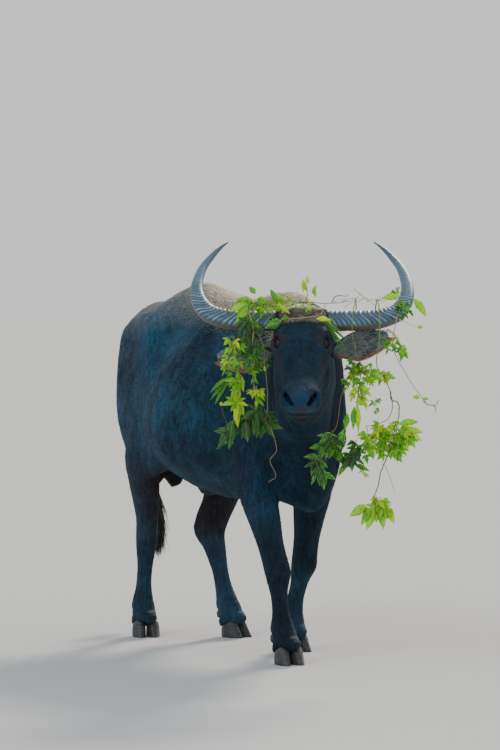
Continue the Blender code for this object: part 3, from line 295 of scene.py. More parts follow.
HEAD_MIDDLE = head_place(0.24, 0.08)
head_turned = Matrix((LEFT, ALONG, ABOVE)).transposed()
fillings = [welded(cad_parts[f"eye_{side}"].data) for side in ("left", "right")]
for side in (-1, 1):
    fillings.append(ball(head_place(0.010, 0.036, side * 0.062), (0.050, 0.050, 0.034), head_turned))
    fillings.append(ball(head_place(0.062, 0.120, side * 0.066), (0.028, 0.040, 0.040), head_turned))
    fillings.append(ball(head_place(0.462, 0.036, side * 0.032), (0.022, 0.022, 0.022), head_turned))
for leg in LEGS:
    inner, outer = (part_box(f"claw_{leg}_{word}") for word in ("inner", "outer"))
    middle = (inner[0] + inner[1] + outer[0] + outer[1]) / 4
    fillings.append(ball(Vector((middle.x, middle.y, 0.078)), (0.044, 0.044, 0.030)))
GASKINS = (
    (0.165, 1.000, 0.785, 0.085, 0.120, 0.115), (0.150, 0.925, 0.680, 0.066, 0.098, 0.112),
    (-0.095, 1.050, 0.820, 0.070, 0.100, 0.110), (-0.092, 1.000, 0.715, 0.055, 0.088, 0.118),
)
for x, y, z, *radii in GASKINS:
    fillings.append(ball(STAND + Vector((x, y, z)), radii))
skin = fused("hide", [welded(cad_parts[name].data, 0.0004) for name in FLESH] + fillings, HIDE_CELL)
largest_piece(skin)

points, edges = points_of(skin.data), edges_of(skin.data)
on_head = np.clip(near(points, HEAD_MIDDLE, 0.44) * 4, 0, 1)
on_feet = np.clip((0.16 - points[:, 2]) / 0.10, 0, 1)
weight = 0.6 * (1 - 0.75 * on_head) * (1 - 0.55 * on_feet)
set_points(skin.data, smoothed(points, edges, weight, HIDE_ROUNDS))


def finer(obj, picked):
    """The faces whose middle is picked are cut in four."""
    work = bmesh.new()
    work.from_mesh(obj.data)
    middles = np.array([face.calc_center_median() for face in work.faces])
    chosen = picked(middles)
    work.faces.ensure_lookup_table()
    cut = {edge for i in np.flatnonzero(chosen) for edge in work.faces[i].edges}
    bmesh.ops.subdivide_edges(work, edges=list(cut), cuts=1, use_grid_fill=True)
    work.to_mesh(obj.data)
    work.free()


def lengthwise(points):
    """Places on the head told along, below and out, as head_place takes them."""
    away = points - np.array(POLL)
    return np.stack([away @ np.array(ALONG), -(away @ np.array(ABOVE)), away @ np.array(LEFT)], axis=1)


finer(skin, lambda middles: near(middles, HEAD_MIDDLE, 0.36) > 0.02)
finer(skin, lambda middles: (
    near(middles, eye_middle(1), 0.065) + near(middles, eye_middle(-1), 0.065)
    + near(middles, head_place(0.465, 0.06), 0.115) > 0.01
))
points, edges = points_of(skin.data), edges_of(skin.data)
on_head = np.clip(near(points, HEAD_MIDDLE, 0.40) * 4, 0, 1)
set_points(skin.data, smoothed(points, edges, 0.5 * on_head, HEAD_ROUNDS))


def press(points, normals, path, width, depth, rim=0.0):
    """A fold along a path: a furrow of a width and depth with a raised rim on both sides."""
    path = np.array([tuple(p) for p in path])
    nearest = np.full(len(points), 1e9)
    share = np.zeros(len(points))
    for i, (start, end) in enumerate(zip(path[:-1], path[1:])):
        way = end - start
        along = np.clip((points - start) @ way / (way @ way), 0, 1)
        distance = np.linalg.norm(points - start - along[:, None] * way, axis=1)
        closer = distance < nearest
        nearest = np.where(closer, distance, nearest)
        share = np.where(closer, (i + along) / (len(path) - 1), share)
    fade = np.clip(4 * share * (1 - share) * 1.8, 0, 1)
    furrow = -depth * np.exp(-(nearest / width) ** 2)
    ridge = rim * np.exp(-((nearest - 2.1 * width) / (1.1 * width)) ** 2)
    return points + normals * ((furrow + ridge) * fade)[:, None]


def eye_ways(side):
    """The way an eye looks, and the long and the short way of the slit between its lids."""
    look = (ALONG * 0.42 + ABOVE * 0.62 + LEFT * (side * 0.66)).normalized()
    long_way = (ALONG - look * look.dot(ALONG)).normalized()
    return look, long_way, look.cross(long_way).normalized()


# Lids: they close over each eye but for a slit, whose half length and half height are given.
SLIT_LONG = 0.0240
SLIT_HIGH = 0.0118
LID_THICKNESS = 0.0042
points, normals = points_of(skin.data), normals_of(skin.data)
for side in (-1, 1):
    look, long_way, short_way = (np.array(v) for v in eye_ways(side))
    if short_way @ np.array(ABOVE) < 0:
        short_way = -short_way
    centre = np.array(eye_middle(side))
    away = points - centre
    across, rise, depth = away @ long_way, away @ short_way, away @ look
    close = (np.linalg.norm(away, axis=1) < 0.062) & (depth > 0)
    rim = np.hypot(across / SLIT_LONG, rise / SLIT_HIGH)
    round_here = np.sqrt(np.clip(EYE_RADIUS ** 2 - across ** 2 - rise ** 2, 0, None))
    inside = close & (rim < 1.0)
    lid = np.clip(1 - (rim - 1.0) / 1.1, 0, 1)
    lid = lid * lid * (3 - 2 * lid)
    want = np.sqrt(np.clip((EYE_RADIUS + LID_THICKNESS) ** 2 - across ** 2 - rise ** 2, 0, None)) + 0.0010
    lifted = np.where(close & (rim >= 1.0) & (want > 0.003), lid * np.clip(want - depth, -0.006, 0.010), 0)
    sunk = np.where(inside, np.minimum(round_here - 0.0050 - depth, 0), 0)
    points = points + look * (lifted + sunk)[:, None]
    for long, high, proud, start, end, width, deep in (
            (0.036, 0.026, 0.020, 15, 165, 0.0034, 0.0026), (0.047, 0.037, 0.020, 15, 165, 0.0034, 0.0018),
            (0.038, 0.027, 0.018, -20, -160, 0.0036, 0.0026)):
        arc = [
            centre + long_way * (long * math.cos(t)) + short_way * (high * math.sin(t)) + look * proud
            for t in np.radians(np.linspace(start, end, 9))
        ]
        points = press(points, normals, arc, width, deep, 0.0010)
    for high in (0.058, 0.071):
        brow = [head_place(along, -0.02, side * (high - 0.10 * (along - 0.12) ** 2))
                for along in (0.085, 0.11, 0.14, 0.17)]
        points = press(points, normals, brow, 0.004, 0.0016, 0.0008)

# Mouth line, lips, nostril wings and the groove under the nose. The nostrils are commas.
COMMA = ((0.466, 0.010, 0.060), (0.476, 0.017, 0.052), (0.486, 0.026, 0.042), (0.494, 0.037, 0.032),
         (0.499, 0.048, 0.024))
muzzle = near(points, head_place(0.440, 0.010), 0.095)
points = relaxed(points, edges_of(skin.data), np.clip(1.6 * muzzle, 0, 0.6), 8)
set_points(skin.data, points)
normals = normals_of(skin.data)
MOUTH = ((0.345, 0.122, 0.050), (0.380, 0.116, 0.056), (0.425, 0.105, 0.062), (0.460, 0.0945, 0.058),
         (0.487, 0.0885, 0.040), (0.499, 0.087, 0.0))
mouth = [head_place(a, b, o) for a, b, o in MOUTH] + [head_place(a, b, -o) for a, b, o in MOUTH[-2::-1]]
points = press(points, normals, mouth, 0.0036, 0.0085, 0.0018)
points = press(points, normals, [head_place(0.507, b) for b in (0.045, 0.06, 0.075, 0.085)], 0.0030, 0.0022)
for side in (-1, 1):
    wing = [head_place(a, b, side * o) for a, b, o in (
        (0.452, 0.020, 0.060), (0.470, 0.012, 0.052), (0.486, 0.014, 0.040), (0.496, 0.026, 0.026),
        (0.499, 0.042, 0.022))]
    points = press(points, normals, wing, 0.0040, -0.0026)
    comma = [points[np.linalg.norm(points - np.array(head_place(a, b, side * o)), axis=1).argmin()]
             for a, b, o in COMMA]
    points = press(points, normals, comma, 0.0062, 0.0190, 0.0012)
    for a, deep in ((0.405, 0.0012), (0.385, 0.0010), (0.362, 0.0009)):
        crease = [head_place(a - 0.02 * t, 0.020 + 0.075 * t, side * (0.052 + 0.022 * t))
                  for t in (0, 0.33, 0.66, 1)]
        points = press(points, normals, crease, 0.004, deep, deep * 0.4)
    jowl = [head_place(a, b, side * o)
            for a, b, o in ((0.19, 0.10, 0.105), (0.25, 0.105, 0.09), (0.31, 0.10, 0.075),
                            (0.36, 0.085, 0.07))]
    points = press(points, normals, jowl, 0.010, 0.0035)
set_points(skin.data, points)

# Soft skin folds where the hide slackens: on the throat and breast, the elbows and the flanks.
def on_side(side, *rows):
    """A path on one flank. A row tells a place from STAND by out, back and up."""
    return [STAND + Vector((side * x, y, z)) for x, y, z in rows]


points, normals = points_of(skin.data), normals_of(skin.data)
for k in range(5):
    y = -0.36 + 0.055 * k
    throat = [STAND + Vector((-0.22 + 0.05 * k + out, y + 0.05 * abs(out) * 4, z))
              for out, z in ((0.16, 1.16), (0.13, 1.02), (0.05, 0.92), (-0.02, 0.90), (-0.08, 0.96),
                             (-0.12, 1.08))]
    points = press(points, normals, throat, 0.013, 0.005, 0.003)
for side in (-1, 1):
    for k in range(3):
        elbow = on_side(side, (0.22, 0.16 + 0.03 * k, 0.98 - 0.02 * k), (0.22, 0.17 + 0.032 * k, 0.88),
                        (0.20, 0.14 + 0.03 * k, 0.78), (0.17, 0.10 + 0.03 * k, 0.70))
        points = press(points, normals, elbow, 0.013, 0.0045, 0.0025)
        flank = on_side(side, (0.29, 0.64 + 0.025 * k, 0.98), (0.28, 0.67 + 0.022 * k, 0.88),
                        (0.27, 0.72 + 0.015 * k, 0.78), (0.24, 0.76, 0.70))
        points = press(points, normals, flank, 0.014, 0.0045, 0.0025)

# Bones under the hide: the hip bones and the ridge from each to the tail head, the hollow
# ahead of the hip, arcs of ribs and the blade of each shoulder. Then the loin sinks a little,
# the belly hangs, and the skin is ringed above each hoof.
for side in (-1, 1):
    rump = on_side(side, (0.215, 0.745, 1.290), (0.222, 0.800, 1.300), (0.185, 0.930, 1.290),
                   (0.150, 1.060, 1.262), (0.115, 1.180, 1.225), (0.085, 1.270, 1.165))
    points = press(points, normals, rump, 0.032, -0.011)
    saddle = on_side(side, (0.105, 0.800, 1.345), (0.105, 0.950, 1.330), (0.085, 1.090, 1.292),
                     (0.070, 1.180, 1.262))
    points = press(points, normals, saddle, 0.034, 0.008)
    croup = near(points, STAND + Vector((side * 0.125, 1.090, 1.270)), 0.25)
    points = points + np.array((side * 0.003, 0.002, 0.005)) * croup[:, None]
    edge = on_side(side, (0.222, 0.775, 1.300), (0.232, 0.745, 1.240), (0.242, 0.725, 1.170),
                   (0.250, 0.710, 1.080), (0.250, 0.720, 0.990))
    points = press(points, normals, edge, 0.022, -0.010)
    hollow = on_side(side, (0.190, 0.660, 1.285), (0.215, 0.655, 1.225), (0.245, 0.620, 1.160),
                     (0.270, 0.600, 1.090), (0.285, 0.605, 1.010))
    points = press(points, normals, hollow, 0.040, 0.013, 0.002)
    for first, bold, reach in ((0.325, 1.0, 1.0), (0.255, 0.7, 1.0), (0.190, 0.9, 0.99), (0.120, 0.6, 0.94),
                               (0.060, 0.7, 0.87)):
        rib = [STAND + Vector((side * reach * 0.36 * (1 - ((z - 0.90) / 0.54) ** 2),
                               first + 0.13 * math.cos((z - 0.85) / 0.45 * math.pi / 2), z))
               for z in np.linspace(1.27, 0.76, 9)]
        points = press(points, normals, rib, 0.020, -0.0050 * bold)
    blade = on_side(side, (0.120, 0.020, 1.330), (0.170, -0.030, 1.230), (0.200, -0.080, 1.120),
                    (0.215, -0.130, 1.020))
    points = press(points, normals, blade, 0.026, -0.009, 0.0)
    behind = on_side(side, (0.165, 0.130, 1.270), (0.195, 0.085, 1.180), (0.220, 0.060, 1.080),
                     (0.232, 0.050, 0.980), (0.228, 0.045, 0.880))
    points = press(points, normals, behind, 0.024, 0.009, 0.002)
    upper_arm = on_side(side, (0.215, -0.100, 0.960), (0.222, -0.020, 0.900), (0.215, 0.030, 0.820),
                        (0.200, 0.030, 0.740))
    points = press(points, normals, upper_arm, 0.035, -0.008)
    thigh = on_side(side, (0.262, 0.900, 1.010), (0.268, 0.880, 0.920), (0.262, 0.840, 0.830),
                    (0.245, 0.810, 0.740))
    points = press(points, normals, thigh, 0.045, -0.010)
loin = near(points, STAND + Vector((0, 0.865, 1.400)), 0.21) * np.clip((points[:, 2] - 1.20) / 0.10, 0, 1)
points = points - np.array((0, 0, 0.034)) * loin[:, None]
belly = near(points, STAND + Vector((0, 0.40, 0.74)), 0.46) * (points[:, 2] < 0.95)
points = points - np.array((0, 0, 0.018)) * (belly * np.clip((0.95 - points[:, 2]) / 0.15, 0, 1))[:, None]
for leg in LEGS:
    low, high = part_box(f"claw_{leg}_inner")
    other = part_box(f"claw_{leg}_outer")
    middle = (low + high + other[0] + other[1]) / 4
    for rise, deep in ((0.092, 0.0018), (0.108, 0.0022), (0.150, 0.0016)):
        close = np.exp(-((points[:, 2] - rise + 0.06 * (points[:, 1] - middle.y)) / 0.0042) ** 2)
        close *= near(points, (middle.x, middle.y + 0.03, rise), 0.16) ** 0.5
        points = points - normals * (deep * close)[:, None]
COAT_DEPTH = 0.0032
on_head = near(points, HEAD_MIDDLE, 0.40) > 0.05
covered = np.clip((points[:, 2] - 0.12) / 0.10, 0, 1) * np.where(on_head, 0.35, 1.0)
points = points - normals * (COAT_DEPTH * covered)[:, None]
set_points(skin.data, points)
skin.data.polygons.foreach_set("use_smooth", [True] * len(skin.data.polygons))
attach(skin, "root")
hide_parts(*FLESH)


# Buffalo hide: thick slate-grey skin under sparse short hair, matt, with a very weak sheen.
# The grain is small cracked cells about 7 mm wide, with hair streaks of 2 to 3 mm over them.
def masks(points):
    """Where the hide is browner, barer or paler, as red, green and blue of one attribute, and where painted
    sunlight pales the top of the back, as its alpha.
    """
    local = lengthwise(points)
    low = np.clip((0.80 - points[:, 2]) / 0.35, 0, 1) * 0.30
    groin = near(points, STAND + Vector((0, 0.86, 0.66)), 0.42)
    brown = np.clip(low + groin, 0, 1)
    nose = np.clip(near(points, head_place(0.492, 0.045), 0.085) * 2.2 - 0.3, 0, 1)
    lips = np.clip((local[:, 1] - 0.088) / 0.006, 0, 1) * np.clip((0.112 - local[:, 1]) / 0.012, 0, 1)
    lips *= np.clip((local[:, 0] - 0.430) / 0.03, 0, 1) * np.clip((0.56 - local[:, 0]) / 0.02, 0, 1)
    lips *= 0.80 * np.clip((0.040 - np.abs(local[:, 2])) / 0.012, 0, 1)
    lips = np.maximum(lips, 0.70 * np.clip(1.4 * near(points, head_place(0.500, 0.070), 0.040), 0, 1))
    for side in (-1, 1):
        # Painted shade: inside each nostril the pad is drawn dark brown instead of blue.
        for a, b, o in COMMA[1:4]:
            hollow = np.clip(2.2
                             * near(points, head_place(a - 0.006, b + 0.002, side * (o - 0.004)), 0.0145),
                             0, 1)
            nose, brown = nose * (1 - hollow), np.maximum(brown, hollow)
            lips = lips * (1 - hollow)
        lid = np.linalg.norm(points - np.array(eye_middle(side)), axis=1)
        lips = np.maximum(lips, 0.55 * np.exp(-((lid - 0.034) / 0.011) ** 2))
        lips = np.maximum(lips, 0.55 * near(points, head_place(0.225, 0.060, side * 0.085), 0.055))
        lips = np.maximum(lips, 0.45 * near(points, head_place(0.085, 0.045, side * 0.085), 0.040))
    # Painted sunlight: the top of the back, reaching lower towards the rump ridge, is drawn paler where
    # light from behind falls on it.
    painted_sunlight_above = 1.26 - 0.055 * np.clip((points[:, 1] - STAND.y - 0.60) / 0.30, 0, 1)
    pale = (np.clip((points[:, 2] - painted_sunlight_above) / 0.16, 0, 1)
            * np.clip((points[:, 1] - STAND.y + 0.18) / 0.2, 0, 1))
    return np.stack([brown, np.clip(nose, 0, 1), np.clip(lips, 0, 1), pale], axis=1)


FIELDS = {"FLOAT_COLOR": "color", "FLOAT_VECTOR": "vector", "FLOAT": "value"}


def store(mesh, values, name="marks", kind="FLOAT_COLOR"):
    """Values kept on the points of a mesh, for a finish to read by their name."""
    layer = mesh.attributes.new(name, kind, "POINT")
    layer.data.foreach_set(FIELDS[kind], np.asarray(values, np.float32).ravel())


store(skin.data, masks(points_of(skin.data)))


def hide_colour(tree):
    """The hide's colour from its marks and patches and a painted shade towards the front, with the
    coordinates and marks it used.
    """
    place = add(tree, "ShaderNodeTexCoord").outputs["Object"]
    marks = add(tree, "ShaderNodeAttribute", attribute_name="marks")
    parts = add(tree, "ShaderNodeSeparateColor", {"Color": marks.outputs["Color"]})
    patches = add(tree, "ShaderNodeTexNoise",
                  {"Vector": place, "Scale": 3.4, "Detail": 7.0, "Roughness": 0.66})
    base = add(tree, "ShaderNodeValToRGB", {"Fac": patches.outputs["Fac"]},
               stops=((0.32, "#081822"), (0.72, "#20475e")))
    brown = add(tree, "ShaderNodeMix", data_type="RGBA", inputs={
        0: parts.outputs["Red"], 6: base.outputs["Color"], 7: linear("#241c1d")})
    dust = add(tree, "ShaderNodeTexNoise",
               {"Vector": place, "Scale": 11.0, "Detail": 8.0, "Roughness": 0.7})
    thin = add(tree, "ShaderNodeMapRange",
               {"Value": dust.outputs["Fac"], "From Min": 0.50, "From Max": 0.76, "To Max": 0.34})
    dusty = add(tree, "ShaderNodeMix", data_type="RGBA", inputs={
        0: thin.outputs["Result"], 6: brown.outputs[2], 7: linear("#355c74")})
    # Painted sunlight: the alpha mark pales the top of the back towards grey; on the ears the same mark
    # pales their skin.
    back = add(tree, "ShaderNodeMath", {0: marks.outputs["Alpha"], 1: 0.40}, operation="MULTIPLY")
    pale = add(tree, "ShaderNodeMix", data_type="RGBA", inputs={
        0: back.outputs["Value"], 6: dusty.outputs[2], 7: linear("#7a8287")})
    run = add(tree, "ShaderNodeMapping", {"Vector": place, "Scale": (1.0, 0.8, 0.16)})
    lie = add(tree, "ShaderNodeTexNoise",
              {"Vector": run.outputs["Vector"], "Scale": 95.0, "Detail": 6.0, "Roughness": 0.7})
    streak = add(tree, "ShaderNodeMapRange",
                 {"Value": lie.outputs["Fac"], "From Min": 0.32, "From Max": 0.70,
                  "To Min": 0.55, "To Max": 1.55})
    brushed = add(tree, "ShaderNodeMix", data_type="RGBA", blend_type="MULTIPLY", inputs={
        0: 1.0, 6: pale.outputs[2], 7: streak.outputs["Result"]})
    # Painted shade: the hide is drawn darker towards the head, neck and breast and lighter towards the
    # rump.
    spot = add(tree, "ShaderNodeSeparateXYZ", {"Vector": place})
    ahead = add(tree, "ShaderNodeMapRange",
                {"Value": spot.outputs["Y"], "From Min": STAND.y - 0.35, "From Max": STAND.y + 0.45,
                 "To Min": 0.60, "To Max": 1.34})
    painted_front_shade = add(tree, "ShaderNodeMix", data_type="RGBA", blend_type="MULTIPLY", inputs={
        0: 1.0, 6: brushed.outputs[2], 7: ahead.outputs["Result"]})
    return place, parts, painted_front_shade.outputs[2]


hide, tree, shader = finish_named("slate_buffalo_hide")
place, parts, colour = hide_colour(tree)
cells = add(tree, "ShaderNodeTexVoronoi", {"Vector": place, "Scale": 150.0, "Randomness": 1.0},
            feature="DISTANCE_TO_EDGE")
cracks = add(tree, "ShaderNodeMapRange",
             {"Value": cells.outputs["Distance"], "From Max": 0.22, "To Min": 0.0, "To Max": 1.0})
stretch = add(tree, "ShaderNodeMapping", {"Vector": place, "Scale": (1.0, 0.30, 0.30)})
folds = add(tree, "ShaderNodeTexNoise",
            {"Vector": stretch.outputs["Vector"], "Scale": 60.0, "Detail": 7.0, "Roughness": 0.62})
hairs = add(tree, "ShaderNodeMapping", {"Vector": place, "Scale": (1.0, 0.16, 0.35)})
streaks = add(tree, "ShaderNodeTexNoise",
              {"Vector": hairs.outputs["Vector"], "Scale": 420.0, "Detail": 4.0, "Roughness": 0.6})
# The cracks between the cells are drawn a little darker.
darker_in_cracks = add(tree, "ShaderNodeMapRange", {"Value": cracks.outputs["Result"], "To Min": 0.80, "To Max": 1.0})
shaded = add(tree, "ShaderNodeMix", data_type="RGBA", blend_type="MULTIPLY", inputs={
    0: 1.0, 6: colour, 7: darker_in_cracks.outputs["Result"]})
# The nose pad is bare and moist, with pebbles of 3 mm. The lips are a dull brown.
pebbles = add(tree, "ShaderNodeTexVoronoi", {"Vector": place, "Scale": 330.0, "Randomness": 0.9})
padded = add(tree, "ShaderNodeValToRGB", {"Fac": pebbles.outputs["Distance"]},
             stops=((0.10, "#1d4a68"), (0.75, "#132b3b")))
nosed = add(tree, "ShaderNodeMix", data_type="RGBA", inputs={
    0: parts.outputs["Green"], 6: shaded.outputs[2], 7: padded.outputs["Color"]})
lipped = add(tree, "ShaderNodeMix", data_type="RGBA", inputs={
    0: parts.outputs["Blue"], 6: nosed.outputs[2], 7: linear("#372c2e")})
tree.links.new(lipped.outputs[2], shader.inputs["Base Color"])
rough = add(tree, "ShaderNodeMapRange", {"Value": parts.outputs["Green"], "To Min": 0.76, "To Max": 0.30})
tree.links.new(rough.outputs["Result"], shader.inputs["Roughness"])
shader.inputs["Specular IOR Level"].default_value = 0.13
shader.inputs["Sheen Weight"].default_value = 0.03
shader.inputs["Sheen Roughness"].default_value = 0.40
shader.inputs["Sheen Tint"].default_value = linear("#9fc0d8")
lumps = add(tree, "ShaderNodeTexNoise", {"Vector": place, "Scale": 17.0, "Detail": 4.0, "Roughness": 0.55})
broad = add(tree, "ShaderNodeBump", {"Height": lumps.outputs["Fac"], "Strength": 0.50, "Distance": 0.016})
creased = add(tree, "ShaderNodeBump", {"Height": folds.outputs["Fac"], "Strength": 0.60, "Distance": 0.0075,
                                       "Normal": broad.outputs["Normal"]})
cracked = add(tree, "ShaderNodeBump",
              {"Height": cracks.outputs["Result"], "Strength": 0.26, "Distance": 0.0014,
               "Normal": creased.outputs["Normal"]})
combed = add(tree, "ShaderNodeBump",
             {"Height": streaks.outputs["Fac"], "Strength": 0.45, "Distance": 0.0016,
              "Normal": cracked.outputs["Normal"]})
tree.links.new(combed.outputs["Normal"], shader.inputs["Normal"])
skin.data.materials.clear()
skin.data.materials.append(hide)


# Eyes: dark brown and wet, with a lying pupil, and bulging where the cornea stands out. Each
# is a ball set in the head between the lids.
EYE_RINGS = 31
EYE_SIDES = 40


def piece(name, points, faces, finish):
    """A closed mesh object that moves with the animal, its faces turned outward."""
    mesh = bpy.data.meshes.new(name)
    mesh.from_pydata([tuple(p) for p in points], [], faces)
    work = bmesh.new()
    work.from_mesh(mesh)
    bmesh.ops.recalc_face_normals(work, faces=work.faces)
    work.to_mesh(mesh)
    work.free()
    mesh.polygons.foreach_set("use_smooth", [True] * len(mesh.polygons))
    mesh.materials.append(finish)
    made = bpy.data.objects.new(name, mesh)
    bpy.context.scene.collection.objects.link(made)
    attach(made, "root")
    return made


def ring_faces(count, sides, caps=True):
    """Faces between rings of equal count, with both ends closed."""
    faces = [
        (i * sides + j, i * sides + (j + 1) % sides, (i + 1) * sides + (j + 1) % sides, (i + 1) * sides + j)
        for i in range(count - 1) for j in range(sides)
    ]
    if caps:
        faces += [tuple(reversed(range(sides))), tuple(range((count - 1) * sides, count * sides))]
    return faces


wet_eye, tree, shader = finish_named("wet_dark_eye")
look = add(tree, "ShaderNodeAttribute", attribute_name="iris")
split = add(tree, "ShaderNodeSeparateColor", {"Color": look.outputs["Color"]})
iris = add(tree, "ShaderNodeValToRGB", {"Fac": split.outputs["Red"]}, stops=(
    (0.30, "#050404"), (0.44, "#2e1d12"), (0.70, "#1d120c"), (0.80, "#0c0808"), (1.0, "#4a4340")))
tree.links.new(iris.outputs["Color"], shader.inputs["Base Color"])
shader.inputs["Roughness"].default_value = 0.05
shader.inputs["IOR"].default_value = 1.34
for name, side in (("left", 1), ("right", -1)):
    look, long_way, short_way = eye_ways(side)
    centre = eye_middle(side)
    rings, marks = [], []
    for i in range(1, EYE_RINGS + 1):
        tilt = math.pi * i / (EYE_RINGS + 1)
        reach = EYE_RADIUS * (0.985 + 0.075 * math.exp(-(tilt / 0.42) ** 2))
        for j in range(EYE_SIDES):
            turn = 2 * math.pi * j / EYE_SIDES
            sideways = long_way * math.cos(turn) + short_way * math.sin(turn)
            rings.append(centre + (look * math.cos(tilt) + sideways * math.sin(tilt)) * reach)
            u, v = math.sin(tilt) * math.cos(turn), math.sin(tilt) * math.sin(turn)
            wide = math.hypot(u / 0.62, v / 0.62) * 0.75 if math.cos(tilt) > 0 else 1.0
            pupil = math.hypot(u / 0.40, v / 0.20) * 0.36 if math.cos(tilt) > 0 else 1.0
            shade = pupil if pupil < 0.40 else wide if wide > 0.42 else 0.44
            marks.append((min(1.0, shade), 0, 0, 1))
    made = piece(f"eye_{name}_wet", rings, ring_faces(EYE_RINGS, EYE_SIDES), wet_eye)
    store(made.data, marks, "iris")
    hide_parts(f"eye_{name}")


# Horns: keratin sheaths that sweep out and up in a crescent, flattened, with cross ridges
# for two thirds of their length and smooth worn tips.
HORN_ROWS = (
    (0.050, 0.000, 0.084), (0.100, -0.002, 0.088), (0.165, -0.002, 0.087), (0.235, 0.001, 0.084),
    (0.2925, 0.0136, 0.079), (0.347, 0.049, 0.069), (0.3815, 0.122, 0.057), (0.3895, 0.211, 0.045),
    (0.371, 0.321, 0.032), (0.334, 0.408, 0.022), (0.303, 0.462, 0.013), (0.275, 0.497, 0.004),
)
HORN_SIDES = 38
HORN_RINGS = 470
RIDGE_SPACING = 0.0175
RIDGE_SLANT = 0.024
RIDGE_SIZES = 80


def smooth_rows(rows, per_span):
    """Rows read off one smooth curve through them, with per_span steps between two."""
    rows = np.asarray(rows, float)
    ends = np.vstack([2 * rows[0] - rows[1], rows, 2 * rows[-1] - rows[-2]])
    read = []
    for before, start, end, after in zip(ends[:-3], ends[1:-2], ends[2:-1], ends[3:]):
        for t in np.arange(per_span) / per_span:
            read.append(0.5
                        * (2 * start + (end - before) * t
                           + (2 * before - 5 * start + 4 * end - after) * t ** 2
                           + (3 * start - before - 3 * end + after) * t ** 3))
    read.append(rows[-1])
    return np.array(read)


def unit(vectors):
    return vectors / np.maximum(np.linalg.norm(vectors, axis=-1, keepdims=True), 1e-9)


def horn_rings(side):
    """The points of one horn, with how high on a ridge, how far along and how far under each lies."""
    rows = smooth_rows(HORN_ROWS, 16)
    run = np.concatenate([[0], np.cumsum(np.linalg.norm(np.diff(rows[:, :2], axis=0), axis=1))])
    steps = np.linspace(0, run[-1], HORN_RINGS)
    out, back, broad = (np.interp(steps, run, rows[:, k]) for k in range(3))
    centres = np.array([head_place(0.008 - b, 0.030, side * o - 0.025 * b) for o, b in zip(out, back)])
    way = unit(np.gradient(centres, axis=0))
    across = unit(np.cross(way, np.array(ABOVE)))
    fore = np.cross(across, way)
    inward = -side * across
    crest = unit(0.59 * inward + 0.81 * fore)
    turn = np.linspace(0, 2 * math.pi, HORN_SIDES, endpoint=False)
    cosine = np.sign(np.cos(turn)) * np.abs(np.cos(turn)) ** 0.84
    sine = np.sign(np.sin(turn)) * np.abs(np.sin(turn)) ** 0.84
    flat = np.minimum(1.0, 0.62 + 0.3 * steps / run[-1])
    height = (broad * flat)[:, None] * np.where(sine > 0, 0.40, 0.60) * sine
    offset = across[:, None] * (broad[:, None] / 2 * cosine)[..., None] + fore[:, None] * height[..., None]
    drop = -(unit(offset) * crest[:, None]).sum(axis=2)

    # Ridges slant outward as they come down the front, and stand up as teeth on the crest.
    draw = np.random.default_rng(3 + side)
    wander = np.cumsum(draw.normal(0, 0.016, HORN_RINGS))
    bold = draw.uniform(0.30, 1.10, RIDGE_SIZES)
    slanted = steps[:, None] - RIDGE_SLANT * drop
    beat = slanted / RIDGE_SPACING + np.interp(slanted, steps, wander) + 4
    ridge = np.exp(-((beat % 1.0 - 0.5) / 0.20) ** 2) * bold[beat.astype(int) % RIDGE_SIZES]
    fine = 0.5 + 0.5 * np.sin(6 * math.pi * beat + 2 * np.sin(1.7 * beat))
    strength = (np.clip((0.68 - steps / run[-1]) / 0.22, 0, 1) * np.clip(steps / 0.04, 0.5, 1))[:, None]
    front = np.clip((0.72 - drop) / 0.4, 0, 1)
    teeth = np.clip((-drop - 0.60) / 0.4, 0, 1)
    knobs = np.sin(steps[:, None] * 210 + 3 * np.sin(5 * turn)) * np.sin(7 * turn + 95 * steps[:, None])
    swell = 1 + strength * (front * (0.038 * ridge + 0.012 * fine) + 0.068 * teeth * ridge - 0.026)
    swell += 0.09 * teeth ** 2 * np.minimum(1, 0.4 + strength) + 0.020 * knobs * (1 - front) * strength
    rings = centres[:, None] + offset * swell[..., None]
    # Painted highlight and shade: ridge tops are marked light and the grooves dark, following the relief.
    light = 0.42 + strength * front * (np.clip(ridge + 0.22 * fine, 0, 1) - 0.42)
    share = steps / run[-1]
    under = np.clip((drop - 0.32) / 0.28, 0, 1) * np.clip(1.25 - 1.5 * share, 0, 1)[:, None]
    return rings.reshape(-1, 3), light.ravel(), np.repeat(share, HORN_SIDES), under.ravel()


# Grey keratin: bluish and satin, with darker grooves between thin paler worn ridges, the ridges
# lighter partly by wear and partly as painted highlight, the grooves darker partly by dirt and
# partly as painted shade, and brown and knobbly below. Its fibres run along the horn in streaks
# about 5 mm wide, with finer ones in them.
keratin, tree, shader = finish_named("grey_horn_keratin")
place = add(tree, "ShaderNodeTexCoord").outputs["Object"]
marks = add(tree, "ShaderNodeAttribute", attribute_name="marks")
parts = add(tree, "ShaderNodeSeparateColor", {"Color": marks.outputs["Color"]})
cloud = add(tree, "ShaderNodeTexNoise", {"Vector": place, "Scale": 16.0, "Detail": 7.0, "Roughness": 0.65})
